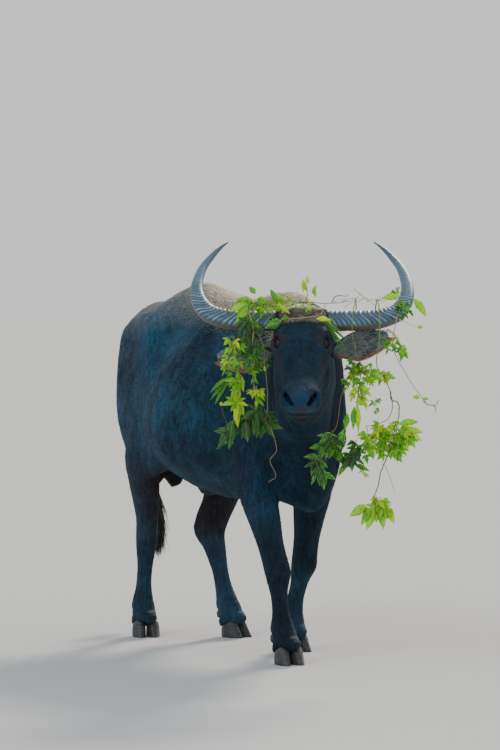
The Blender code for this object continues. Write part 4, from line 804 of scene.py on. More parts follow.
# The ridge ramp runs from dark in the grooves, as painted shade, to pale on the ridge tops, as painted
# highlight.
ridged = add(tree, "ShaderNodeValToRGB", {"Fac": parts.outputs["Red"]}, stops=(
    (0.0, "#1c3746"), (0.22, "#315569"), (0.45, "#4c7389"), (0.75, "#6c8fa2"), (1.0, "#a3b4be")))
clouded = add(tree, "ShaderNodeMapRange", {"Value": cloud.outputs["Fac"], "From Min": 0.3, "From Max": 0.7,
                                           "To Min": 0.70, "To Max": 1.20})
grey = add(tree, "ShaderNodeMix", data_type="RGBA", blend_type="MULTIPLY", inputs={
    0: 1.0, 6: ridged.outputs["Color"], 7: clouded.outputs["Result"]})
under = add(tree, "ShaderNodeMix", data_type="RGBA", inputs={
    0: parts.outputs["Blue"], 6: grey.outputs[2], 7: linear("#4b3f30")})
tipped = add(tree, "ShaderNodeValToRGB", {"Fac": parts.outputs["Green"]}, stops=(
    (0.0, "#b0a794"), (0.16, "#ffffff"), (0.75, "#ffffff"), (1.0, "#9aa3aa")))
toned = add(tree, "ShaderNodeMix", data_type="RGBA", blend_type="MULTIPLY", inputs={
    0: 1.0, 6: under.outputs[2], 7: tipped.outputs["Color"]})
fibre_way = add(tree, "ShaderNodeAttribute", attribute_name="way")
fibres = add(tree, "ShaderNodeTexNoise",
             {"Vector": fibre_way.outputs["Vector"], "Scale": 1.0, "Detail": 5.0, "Roughness": 0.6})
mottled = add(tree, "ShaderNodeMapRange", {"Value": fibres.outputs["Fac"], "From Min": 0.3, "From Max": 0.7,
                                           "To Min": 0.72, "To Max": 1.15})
fibred = add(tree, "ShaderNodeMix", data_type="RGBA", blend_type="MULTIPLY", inputs={
    0: 1.0, 6: toned.outputs[2], 7: mottled.outputs["Result"]})
tree.links.new(fibred.outputs[2], shader.inputs["Base Color"])
shader.inputs["Roughness"].default_value = 0.42
shader.inputs["IOR"].default_value = 1.54
relief = add(tree, "ShaderNodeBump", {"Height": fibres.outputs["Fac"], "Strength": 0.5, "Distance": 0.0010})
crusts = add(tree, "ShaderNodeTexNoise", {"Vector": place, "Scale": 75.0, "Detail": 6.0, "Roughness": 0.7})
crusted = add(tree, "ShaderNodeMath", {0: crusts.outputs["Fac"], 1: parts.outputs["Blue"]},
              operation="MULTIPLY")
knobbly = add(tree, "ShaderNodeBump",
              {"Height": crusted.outputs["Value"], "Strength": 0.8, "Distance": 0.0060,
               "Normal": relief.outputs["Normal"]})
tree.links.new(knobbly.outputs["Normal"], shader.inputs["Normal"])
for name, side in (("left", 1), ("right", -1)):
    rings, light, share, under = horn_rings(side)
    made = piece(f"horn_{name}_ridged", rings, ring_faces(HORN_RINGS, HORN_SIDES), keratin)
    store(made.data, np.stack([light, share, under, share], axis=1))
    around = np.tile(np.arange(HORN_SIDES) / HORN_SIDES * 2 * math.pi, HORN_RINGS)
    flow = np.stack([np.cos(around) * 9, np.sin(around) * 9, share * 60], axis=1)
    store(made.data, flow, "way", "FLOAT_VECTOR")
    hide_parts(f"horn_{name}")


# Ears: long leaf-shaped cups of gristle under thin hide, open to the front, hairy inside and
# along the lower rim. They grow from the sides of the head, under the roots of the horns.
EARS = {
    "ear_left": dict(side=1, root=(0.058, 0.138, 0.096), points=(0.94, 0.27, -0.12),
                     opens=(-0.10, -0.30, 0.95)),
    "ear_right": dict(side=-1, root=(0.058, 0.138, 0.096), points=(0.86, -0.10, -0.36),
                      opens=(0.30, -0.35, 0.88)),
}
EAR_LENGTH = 0.225
EAR_ROWS = (
    (0.00, 0.070, 140, 0.0090), (0.12, 0.100, 120, 0.0085), (0.28, 0.128, 88, 0.0080),
    (0.45, 0.134, 66, 0.0074), (0.62, 0.118, 54, 0.0070), (0.78, 0.088, 46, 0.0066),
    (0.90, 0.054, 40, 0.0064), (1.00, 0.016, 36, 0.0052),
)
EAR_SIDES = 33


def ear_sheets(side, root, points, opens):
    """The outer and inner sheet of an ear, with the way it grows and the way it opens."""
    out = LEFT * side
    axis = (out * points[0] + UP * points[1] + AHEAD * points[2]).normalized()
    front = out * opens[0] + UP * opens[1] + AHEAD * opens[2]
    front = (front - axis * axis.dot(front)).normalized()
    across = axis.cross(front)
    base = head_place(root[0], root[1], side * root[2])
    sheets = ([], [])
    for share, width, curl, thick in smooth_rows(EAR_ROWS, 5):
        centre = (base + axis * (share * EAR_LENGTH)
                  + front * (-0.018 * math.sin(share * math.pi) + 0.012 * share))
        curl = math.radians(curl)
        radius = width / (2 * curl)
        for sheet, away in zip(sheets, (thick / 2, -thick / 2)):
            for turn in np.linspace(-curl, curl, EAR_SIDES):
                rim = 1 - 0.75 * (abs(turn) / curl) ** 8
                ripple = 0.0016 * math.sin(9 * turn / curl + 14 * share) * (abs(turn) / curl)
                reach = radius + away * rim + ripple
                sheet.append(centre + across * (reach * math.sin(turn))
                             + front * (radius - reach * math.cos(turn)))
    return sheets, axis, front, across


ear_skins = {}
for name, shape in EARS.items():
    (outer, inner), axis, front, across = ear_sheets(**shape)
    count = len(outer) // EAR_SIDES
    loops = [
        outer[i * EAR_SIDES:(i + 1) * EAR_SIDES] + inner[i * EAR_SIDES:(i + 1) * EAR_SIDES][::-1]
        for i in range(count)
    ]
    made = piece(f"{name}_cup", [p for loop in loops for p in loop], ring_faces(count, 2 * EAR_SIDES), hide)
    warm = masks(points_of(made.data))
    warm[:, 0] = 0.10
    warm[:, 2] = 0.25
    warm[:, 3] = 1.0
    store(made.data, warm)
    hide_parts(name)
    ear_skins[name] = (outer, inner, axis, front, across)


# Hooves: two claws to a foot with two small dewclaws behind, of dark horn, worn, with fine
# growth rings round them. Each is its own piece, grown from the model's claw.
HOOF_ROUNDS = 6
hoof_horn, tree, shader = finish_named("dark_hoof_horn")
place = add(tree, "ShaderNodeTexCoord").outputs["Object"]
bands = add(tree, "ShaderNodeMapping", {"Vector": place, "Scale": (14.0, 14.0, 260.0)})
rings = add(tree, "ShaderNodeTexNoise",
            {"Vector": bands.outputs["Vector"], "Scale": 1.0, "Detail": 5.0, "Roughness": 0.6})
tone = add(tree, "ShaderNodeValToRGB", {"Fac": rings.outputs["Fac"]},
           stops=((0.34, "#15181b"), (0.74, "#43474a")))
scuffs = add(tree, "ShaderNodeTexNoise", {"Vector": place, "Scale": 38.0, "Detail": 8.0, "Roughness": 0.7})
mud = add(tree, "ShaderNodeMapRange",
          {"Value": scuffs.outputs["Fac"], "From Min": 0.50, "From Max": 0.72, "To Max": 0.65})
muddy = add(tree, "ShaderNodeMix", data_type="RGBA", inputs={
    0: mud.outputs["Result"], 6: tone.outputs["Color"], 7: linear("#5a5044")})
tree.links.new(muddy.outputs[2], shader.inputs["Base Color"])
shader.inputs["Roughness"].default_value = 0.55
worn = add(tree, "ShaderNodeBump", {"Height": rings.outputs["Fac"], "Strength": 0.55, "Distance": 0.0016})
pitted = add(tree, "ShaderNodeBump", {"Height": scuffs.outputs["Fac"], "Strength": 0.4, "Distance": 0.0020,
                                      "Normal": worn.outputs["Normal"]})
tree.links.new(pitted.outputs["Normal"], shader.inputs["Normal"])
for leg in LEGS:
    for word in ("inner", "outer"):
        for kind, cell in (("claw", 0.0032), ("dewclaw", 0.0026)):
            node = f"{kind}_{leg}_{word}"
            made = fused(f"{node}_horn", [welded(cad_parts[node].data)], cell)
            points, edges = points_of(made.data), edges_of(made.data)
            flat = (np.clip((points[:, 2] - 0.0008) / 0.006, 0, 1) if kind == "claw"
                    else np.ones(len(points)))
            points = smoothed(points, edges, 0.5 * np.maximum(flat, 0.05), HOOF_ROUNDS)
            points[:, 2] = np.maximum(points[:, 2], 0.0)
            set_points(made.data, points)
            made.data.polygons.foreach_set("use_smooth", [True] * len(made.data.polygons))
            made.data.materials.clear()
            made.data.materials.append(hoof_horn)
            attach(made, "root")
            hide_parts(node)


# Coat: sparse, short, stiff hair over the hide. It lies back along the trunk, down the legs and
# down the face. It is longer along the spine and on the poll, where it is drawn pale as painted
# sunlight from behind, and every tuft here stands for a few hairs that cling together. Each tuft
# has a small patch of the unwrap.
ROOT_DEPTH = 0.0012
PATCH_HALF = 0.0014


def mesh_of(name, points, triangles, finish):
    """A piece of many triangles, made from arrays."""
    mesh = bpy.data.meshes.new(name)
    mesh.vertices.add(len(points))
    mesh.vertices.foreach_set("co", np.ascontiguousarray(points, np.float32).ravel())
    mesh.loops.add(3 * len(triangles))
    mesh.loops.foreach_set("vertex_index", np.ascontiguousarray(triangles, np.int32).ravel())
    mesh.polygons.add(len(triangles))
    mesh.polygons.foreach_set("loop_start", np.arange(len(triangles), dtype=np.int32) * 3)
    mesh.update(calc_edges=True)
    mesh.polygons.foreach_set("use_smooth", [True] * len(triangles))
    mesh.materials.append(finish)
    made = bpy.data.objects.new(name, mesh)
    bpy.context.scene.collection.objects.link(made)
    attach(made, "root")
    return made


def roots_on(mesh, density, count, seed):
    """Places scattered over a mesh, with the way out of it there."""
    mesh.calc_loop_triangles()
    corners = np.empty(len(mesh.loop_triangles) * 3, np.int32)
    mesh.loop_triangles.foreach_get("vertices", corners)
    corners = corners.reshape(-1, 3)
    points, normals = points_of(mesh), normals_of(mesh)
    a, b, c = (points[corners[:, k]] for k in range(3))
    weight = np.linalg.norm(np.cross(b - a, c - a), axis=1) * density((a + b + c) / 3)
    draw = np.random.default_rng(seed)
    picked = corners[draw.choice(len(corners), count, p=weight / weight.sum())]
    s, t = np.sqrt(draw.random(count)), draw.random(count)
    share = np.stack([1 - s, s * (1 - t), s * t], axis=1)[..., None]
    out = (normals[picked] * share).sum(axis=1)
    return (points[picked] * share).sum(axis=1), out / np.linalg.norm(out, axis=1, keepdims=True)


def tufts(name, place, out, way, length, width, finish, chart, lift=0.25, bend=0.0, rings=1, seed=1,
          tone=None):
    """Tapered three-sided tufts that grow at places, lean along a way and bend towards it.

    The tone, from 0 to 1, is how light each tuft is, and left out it falls by chance.
    """
    draw = np.random.default_rng(seed)
    count = len(place)
    way = unit(way + draw.normal(0, 0.10, (count, 3)))
    flat = unit(way - out * (way * out).sum(axis=1, keepdims=True))
    start = unit(flat + out * (lift * draw.uniform(0.4, 1.5, (count, 1))))
    across = unit(np.cross(start, out))
    length = (length * draw.uniform(0.7, 1.2, count))[:, None]
    width = (width * draw.uniform(0.7, 1.3, count))[:, None]
    points = np.empty((count, 3 * rings + 1, 3))
    spots = np.empty((count, 3 * rings + 1, 2))
    home = chart(place)
    sway = draw.normal(0, 0.06, (count, 1)) * across
    for ring in range(rings + 1):
        share = ring / rings
        middle = (place - out * ROOT_DEPTH
                  + length
                  * (start * share + (bend * (flat - start) + sway - out * bend * 0.1) * share ** 2))
        if ring == rings:
            points[:, -1] = middle
            spots[:, -1] = home + (0.0, 0.0015)
            continue
        broad = width * (1 - 0.35 * share)
        points[:, 3 * ring] = middle + across * (broad / 2)
        points[:, 3 * ring + 1] = middle - across * (broad / 2)
        points[:, 3 * ring + 2] = middle + out * (broad * 0.4)
        for k, aside in enumerate((-PATCH_HALF, PATCH_HALF, 0.0)):
            spots[:, 3 * ring + k] = home + (aside, -PATCH_HALF + 0.0026 * share)
    faces = [(2, 1, 0)]
    for ring in range(rings - 1):
        for k in range(3):
            low, lower = 3 * ring + k, 3 * ring + (k + 1) % 3
            faces += [(low, lower, lower + 3), (low, lower + 3, low + 3)]
    top = 3 * (rings - 1)
    faces += [(top + k, top + (k + 1) % 3, top + 3) for k in range(3)]
    base = np.arange(count)[:, None, None] * (3 * rings + 1)
    triangles = (np.array(faces)[None] + base).reshape(-1, 3)
    made = mesh_of(name, points.reshape(-1, 3), triangles, finish)
    layer = made.data.uv_layers.new(name="OFBake")
    layer.data.foreach_set("uv", spots.reshape(-1, 2)[triangles.ravel()].astype(np.float32).ravel())
    store(made.data, np.repeat(masks(place), 3 * rings + 1, axis=0))
    tone = draw.random(count) if tone is None else np.clip(tone, 0, 1)
    store(made.data, np.repeat(tone, 3 * rings + 1), "strand", "FLOAT")
    return made


def turn_round(points, across, up):
    return np.arctan2(points @ across, points @ up) / (2 * math.pi) + 0.5


def spine_out(back):
    """How far out to the left the spine runs from STAND, by how far back."""
    return np.interp(back, (-0.5, -0.15, 0.05), (-0.23, -0.05, 0.0))


def body_chart(points):
    """An unwrap of the skin: trunk and neck above, then head, tail and the four legs in a row."""
    place = points - np.array(STAND)
    local = lengthwise(points)
    aside, up = np.array((1.0, 0, 0)), np.array((0, 0, 1.0))
    from_spine = place - np.stack([spine_out(place[:, 1]), place[:, 1], np.full(len(place), 1.02)], axis=1)
    spots = np.stack([0.01 + 0.98 * turn_round(from_spine, aside, up),
                      0.52 + 0.46 * np.clip((place[:, 1] + 0.60) / 2.0, 0, 1)], axis=1)
    on_head = ((local[:, 0] > -0.02) & (local[:, 1] < 0.26) & (np.abs(local[:, 2]) < 0.14)
               & (place[:, 1] < -0.35))
    middle = local - np.array((0, 0.11, 0))
    spots[on_head] = np.stack([0.01
                               + 0.28 * (np.arctan2(middle[:, 2], -middle[:, 1]) / (2 * math.pi) + 0.5),
                               0.02 + 0.46 * np.clip((local[:, 0] + 0.03) / 0.56, 0, 1)], axis=1)[on_head]
    slot = 0.31
    for side, low_y, high_y, mid_y in ((-1, -0.4, 0.5, -0.09), (1, -0.4, 0.5, 0.16), (-1, 0.5, 1.26, 0.95),
                                       (1, 0.5, 1.26, 0.82)):
        leg = ((place[:, 2] < 0.68) & (side * place[:, 0] > 0.02) & (place[:, 1] > low_y)
               & (place[:, 1] < high_y))
        centre = place - np.array((side * 0.14, mid_y, 0))
        spots[leg] = np.stack([slot + 0.14 * turn_round(centre, aside, np.array((0, -1.0, 0))),
                               0.02 + 0.46 * np.clip(place[:, 2] / 0.70, 0, 1)], axis=1)[leg]
        slot += 0.15
    tail = (place[:, 1] > 1.27) & (place[:, 2] < 1.16)
    spots[tail] = np.stack([0.92
                            + 0.06
                            * turn_round(place - np.array((0.04, 1.35, 0)), aside, np.array((0, 1.0, 0))),
                            0.02 + 0.46 * np.clip(place[:, 2] / 1.2, 0, 1)], axis=1)[tail]
    return spots


def lie_of_hair(points):
    """Which way the hair lies: back and down on the trunk, down the legs, towards the nose on the head."""
    place = points - np.array(STAND)
    local = lengthwise(points)
    way = np.zeros_like(points)
    way[:, 1], way[:, 2] = 0.75, -0.62
    high = np.clip((place[:, 2] - 1.15) / 0.2, 0, 1)[:, None]
    way = way * (1 - high) + np.array((0, 1.0, -0.15)) * high
    leg = np.clip((0.72 - place[:, 2]) / 0.12, 0, 1)[:, None]
    way = way * (1 - leg) + np.array((0, 0.12, -1.0)) * leg
    tail = ((place[:, 1] > 1.24) & (place[:, 2] < 1.2))[:, None]
    way = np.where(tail, np.array((0.05, 0.05, -1.0)), way)
    head = (np.clip((local[:, 0] + 0.02) / 0.08, 0, 1) * (place[:, 1] < -0.3)
            * (np.abs(local[:, 2]) < 0.14))[:, None]
    way = way * (1 - head) + np.array(ALONG) * head
    swirl = np.stack([np.sin(9 * place[:, 1] + 3 * place[:, 2]), 0 * way[:, 0],
                      np.sin(8 * place[:, 1] - 5 * place[:, 0])], axis=1)
    return way + 0.12 * swirl


# Hair finishes: short hair is matt and has the hide's own markings. Longer hair is satin and
# runs from a dark tone to a light one. Each tuft has a shade of its own.
hair, tree, shader = finish_named("short_buffalo_hair")
place, parts, colour = hide_colour(tree)
strand = add(tree, "ShaderNodeAttribute", attribute_name="strand")
lighter = add(tree, "ShaderNodeMapRange", {"Value": strand.outputs["Fac"], "To Min": 0.50, "To Max": 1.90})
haired = add(tree, "ShaderNodeMix", data_type="RGBA", blend_type="MULTIPLY", inputs={
    0: 1.0, 6: colour, 7: lighter.outputs["Result"]})
marks = add(tree, "ShaderNodeAttribute", attribute_name="marks")
# Painted sunlight: on the top of the back the short hair is drawn pale straw.
painted_sunlight_share = add(tree, "ShaderNodeMath", {0: marks.outputs["Alpha"], 1: 0.55}, operation="MULTIPLY")
painted_sunlit_hair = add(tree, "ShaderNodeMix", data_type="RGBA", inputs={
    0: painted_sunlight_share.outputs["Value"], 6: haired.outputs[2], 7: linear("#94876f")})
tree.links.new(painted_sunlit_hair.outputs[2], shader.inputs["Base Color"])
shader.inputs["Roughness"].default_value = 0.72
shader.inputs["Specular IOR Level"].default_value = 0.18


def long_hair(name, dark, light):
    """A finish for longer hair: dark at some tufts, light at others."""
    made, tree, shader = finish_named(name)
    strand = add(tree, "ShaderNodeAttribute", attribute_name="strand")
    toned = add(tree, "ShaderNodeValToRGB", {"Fac": strand.outputs["Fac"]},
                stops=((0.0, dark), (1.0, light)))
    place = add(tree, "ShaderNodeTexCoord").outputs["Object"]
    cloud = add(tree, "ShaderNodeTexNoise", {"Vector": place, "Scale": 55.0, "Detail": 5.0})
    varied = add(tree, "ShaderNodeMapRange",
                 {"Value": cloud.outputs["Fac"], "From Min": 0.3, "From Max": 0.7,
                  "To Min": 0.70, "To Max": 1.25})
    mixed = add(tree, "ShaderNodeMix", data_type="RGBA", blend_type="MULTIPLY", inputs={
        0: 1.0, 6: toned.outputs["Color"], 7: varied.outputs["Result"]})
    tree.links.new(mixed.outputs[2], shader.inputs["Base Color"])
    shader.inputs["Roughness"].default_value = 0.48
    shader.inputs["Specular IOR Level"].default_value = 0.40
    shader.inputs["Sheen Weight"].default_value = 0.60
    shader.inputs["Sheen Roughness"].default_value = 0.50
    shader.inputs["Sheen Tint"].default_value = linear(light)
    return made


def bare(points):
    """0 where the hide is bare: eyes, nose pad, lips and soles."""
    nose = np.clip(1 - 2.4 * near(points, head_place(0.490, 0.050), 0.085), 0, 1)
    lip = np.clip(1 - masks(points)[:, 2], 0, 1)
    eyes = near(points, eye_middle(1), 0.034) + near(points, eye_middle(-1), 0.034)
    return nose * lip * np.clip(1 - 3 * eyes, 0, 1) * (points[:, 2] > 0.03)


AREAS = (
    ("coat_trunk_front", 46000, 0.0170, 0.0019,
     lambda p: (p[:, 2] > 0.60) & (p[:, 1] < STAND.y + 0.35) & (p[:, 1] > STAND.y - 0.20)),
    ("coat_trunk_back", 47000, 0.0170, 0.0019, lambda p: (p[:, 2] > 0.60) & (p[:, 1] >= STAND.y + 0.35)),
    ("coat_neck", 34000, 0.0160, 0.0018, lambda p: (p[:, 2] > 0.60) & (p[:, 1] <= STAND.y - 0.20)
     & (lengthwise(p)[:, 0] < 0.02)),
    ("coat_head", 42000, 0.0070, 0.0011,
     lambda p: (p[:, 1] <= STAND.y - 0.20) & (lengthwise(p)[:, 0] >= 0.02)),
    ("coat_legs", 42000, 0.0110, 0.0015, lambda p: (p[:, 2] <= 0.60)),
)
for seed, (name, count, length, width, inside) in enumerate(AREAS):
    where, out = roots_on(skin.data, lambda middles: bare(middles) * inside(middles), count, 40 + seed)
    low = np.clip(where[:, 2] / 0.20, 0.50, 1)
    tufts(name, where, out, lie_of_hair(where), length * low, width * low, hair, body_chart, 0.20,
          seed=seed)


# Longer hair: along the spine and the withers, drawn pale as painted sunlight from behind; a mop
# on the poll between the horns that is dark in front and painted pale on top where sunlight falls;
# whiskers on the chin, and lashes on the lids.
CHIN_TUFTS = 420
LASHES_A_LID = 46
painted_sunlit_straw = long_hair("painted_sunlit_straw_hair", "#23262a", "#ece2ca")
soot = long_hair("dark_stiff_hair", "#0b0c0e", "#2a2826")


def on_spine(points):
    """1 along the spine, fading to both sides, towards the croup and towards the poll."""
    place = points - np.array(STAND)
    middle = spine_out(place[:, 1])
    half = np.interp(place[:, 1], (-0.45, -0.10, 0.30, 0.90, 1.20), (0.120, 0.200, 0.225, 0.160, 0.090))
    band = np.clip(1 - np.abs(place[:, 0] - middle) / half, 0, 1)
    ends = np.clip((1.22 - place[:, 1]) / 0.70, 0, 1) * np.clip((place[:, 1] + 0.46) / 0.10, 0, 1)
    return band * ends * (place[:, 2] > 1.16)


where, out = roots_on(skin.data, on_spine, 19000, 61)
share = on_spine(where)
mixed = np.random.default_rng(65).random(len(where))
# Painted sunlight: tufts near the middle of the spine are drawn light cream, fading to dark towards the
# sides.
tufts("coat_spine", where, out, lie_of_hair(where) + 0.12 * out, 0.018 + 0.018 * share,
      0.0013 + 0.0007 * share, painted_sunlit_straw,
      body_chart, 0.38, 0.4, 2, 61, 0.02 + 1.15 * share ** 1.3 * (0.30 + 0.70 * mixed) + 0.10 * mixed)
poll = head_place(0.000, 0.020)
where, out = roots_on(skin.data,
                      lambda p: near(p, poll, 0.092) * (lengthwise(p)[:, 0] < 0.046) * (p[:, 2] > 1.28),
                      5200, 62)
local = lengthwise(where)
mixed = np.random.default_rng(66).random(len(where))
way = (np.array(ALONG) * 0.75 + np.tanh(local[:, 2] / 0.06)[:, None] * np.array(LEFT) * 0.35
       + np.array(UP) * 0.20)
way = way + np.random.default_rng(67).normal(0, 0.22, way.shape)
# Painted sunlight: the tufts on top, behind the poll, are drawn pale; those in front stay dark.
tufts("poll_mop", where, out, way, 0.030, 0.0018, painted_sunlit_straw, body_chart, 0.60, 0.8, 3, 62,
      0.04 + 0.20 * mixed + (0.35 + 0.50 * mixed) * np.clip((-0.014 - local[:, 0]) / 0.022, 0, 1))
where, out = roots_on(skin.data,
                      lambda p: near(p, head_place(0.465, 0.118), 0.055) * (lengthwise(p)[:, 1] > 0.098),
                      CHIN_TUFTS, 63)
tufts("chin_whiskers", where, out, np.tile(np.array(-ABOVE + ALONG * 0.5), (CHIN_TUFTS, 1)), 0.019, 0.0008,
      soot, body_chart, 1.1, 0.5, 3, 63)
lid_roots, lid_outs, lid_ways = [], [], []
for side in (-1, 1):
    look, long_way, short_way = eye_ways(side)
    short_way = short_way if short_way.dot(ABOVE) > 0 else -short_way
    centre = eye_middle(side)
    for share in np.linspace(-0.9, 0.9, LASHES_A_LID):
        root = (centre + long_way * (0.0235 * share)
                + short_way * (0.0105 * math.sqrt(1 - share ** 2) + 0.0005) + look * 0.0235)
        lid_roots.append(root)
        lid_outs.append(look)
        lid_ways.append(short_way + look * 0.8 + long_way * share * 0.5)
tufts("lashes", np.array(lid_roots), np.array(lid_outs), np.array(lid_ways), 0.011, 0.0008, soot,
      body_chart, 0.9, -0.3, 3, 64)


# Ear hair: a soft pale lining that fans towards the rim, and a rusty fringe on the lower edge, whose light
# tones are partly painted sunlight.
LINING_TUFTS = 4200
FRINGE_TUFTS = 1900
lining = long_hair("pale_ear_hair", "#5a6d79", "#bcc6cb")
rust_and_painted_sunlight = long_hair("rusty_sunlit_ear_fringe", "#6b4636", "#d9a070")
for seed, (name, (outer, inner, axis, front, across)) in enumerate(ear_skins.items()):
    draw = np.random.default_rng(70 + seed)
    sheet = np.array([tuple(p) for p in inner]).reshape(-1, EAR_SIDES, 3)
    rows = len(sheet)
    i, j = draw.integers(2, rows - 3, LINING_TUFTS), draw.integers(2, EAR_SIDES - 2, LINING_TUFTS)
    aside = (j / (EAR_SIDES - 1) * 2 - 1)[:, None]
    where = sheet[i, j] + draw.normal(0, 0.0018, (LINING_TUFTS, 3))
    out = np.array(front) - np.array(across) * aside * 0.6
    way = np.array(axis) * 1.0 + np.array(across) * aside * 0.9
    spots = np.stack([0.02 + 0.44 * i / rows + 0.5 * seed, 0.02 + 0.9 * j / EAR_SIDES], axis=1)
    tufts(f"{name}_lining", where, unit(out), way, 0.020, 0.0012, lining, lambda place: spots, 0.45, 0.4, 2,
          72 + seed)
    edge = 0 if sheet[rows // 2, 0, 2] < sheet[rows // 2, -1, 2] else EAR_SIDES - 1
    i = draw.integers(3, rows - 1, FRINGE_TUFTS)
    blend = draw.random((FRINGE_TUFTS, 1))
    where = (sheet[i, edge] * blend + sheet[np.minimum(i + 1, rows - 1), edge] * (1 - blend)
             + draw.normal(0, 0.0012, (FRINGE_TUFTS, 3)))
    beyond = np.array(across) * (1 if edge else -1)
    out = unit(beyond + np.array(front) * draw.uniform(-0.2, 0.7, (FRINGE_TUFTS, 1)))
    spots = np.stack([0.02 + 0.44 * i / rows + 0.5 * seed, np.full(FRINGE_TUFTS, 0.96)], axis=1)
    tufts(f"{name}_fringe", where, out, np.tile(np.array(axis), (FRINGE_TUFTS, 1)) - np.array((0, 0, 0.25)),
          0.024, 0.0013,
          rust_and_painted_sunlight, lambda place: spots, 0.8, 0.4, 2, 74 + seed)


# Tail switch: a brush of long, coarse black-brown hair that hangs from the end of the tail.
low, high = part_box("tail_switch")
draw = np.random.default_rng(80)
SWITCH_TUFTS = 2700
root_share = draw.random(SWITCH_TUFTS) ** 1.4
turn = draw.uniform(0, 2 * math.pi, SWITCH_TUFTS)
radial = np.stack([np.cos(turn), np.sin(turn), np.zeros(SWITCH_TUFTS)], axis=1)
top = np.array(((low.x + high.x) / 2, (low.y + high.y) / 2, high.z - 0.012))
switch_length = high.z - low.z - 0.012
where = top - np.array((0, 0, 1.0)) * (root_share * 0.42 * switch_length)[:, None] + radial * 0.0065
made = tufts("switch_hair", where, radial, radial * 0.10 - np.array((0, 0, 1.0)),
             (switch_length * 0.62) * (1 - 0.15 * root_share),
             0.0027, soot, body_chart, 0.30, 0.6, 4, 80)
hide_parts("tail_switch")


# Vine: a leafy creeper thrown over the horns. Thin green and dry brown stems carry leaves of
# two to five pointed leaflets in clusters, fresh yellow-green outside and dark inside, partly
# their own tone and partly painted sunlight and painted shade. A place is told by out to the
# animal's left of the head, height above the ground, and ahead.
def strand_place(out, height, ahead):
    place = POLL + LEFT * out + AHEAD * ahead
    return Vector((place.x, place.y, height))


LEAFLET_SHAPE = ((0.0, 0.05), (0.10, 0.34), (0.26, 0.80), (0.44, 1.0), (0.62, 0.86), (0.80, 0.50),
                 (0.93, 0.20), (1.0, 0.03))
LEAF_THICKNESS = 0.0005
LEAF_FAN = math.radians(68)
STEM_SIDES = 6


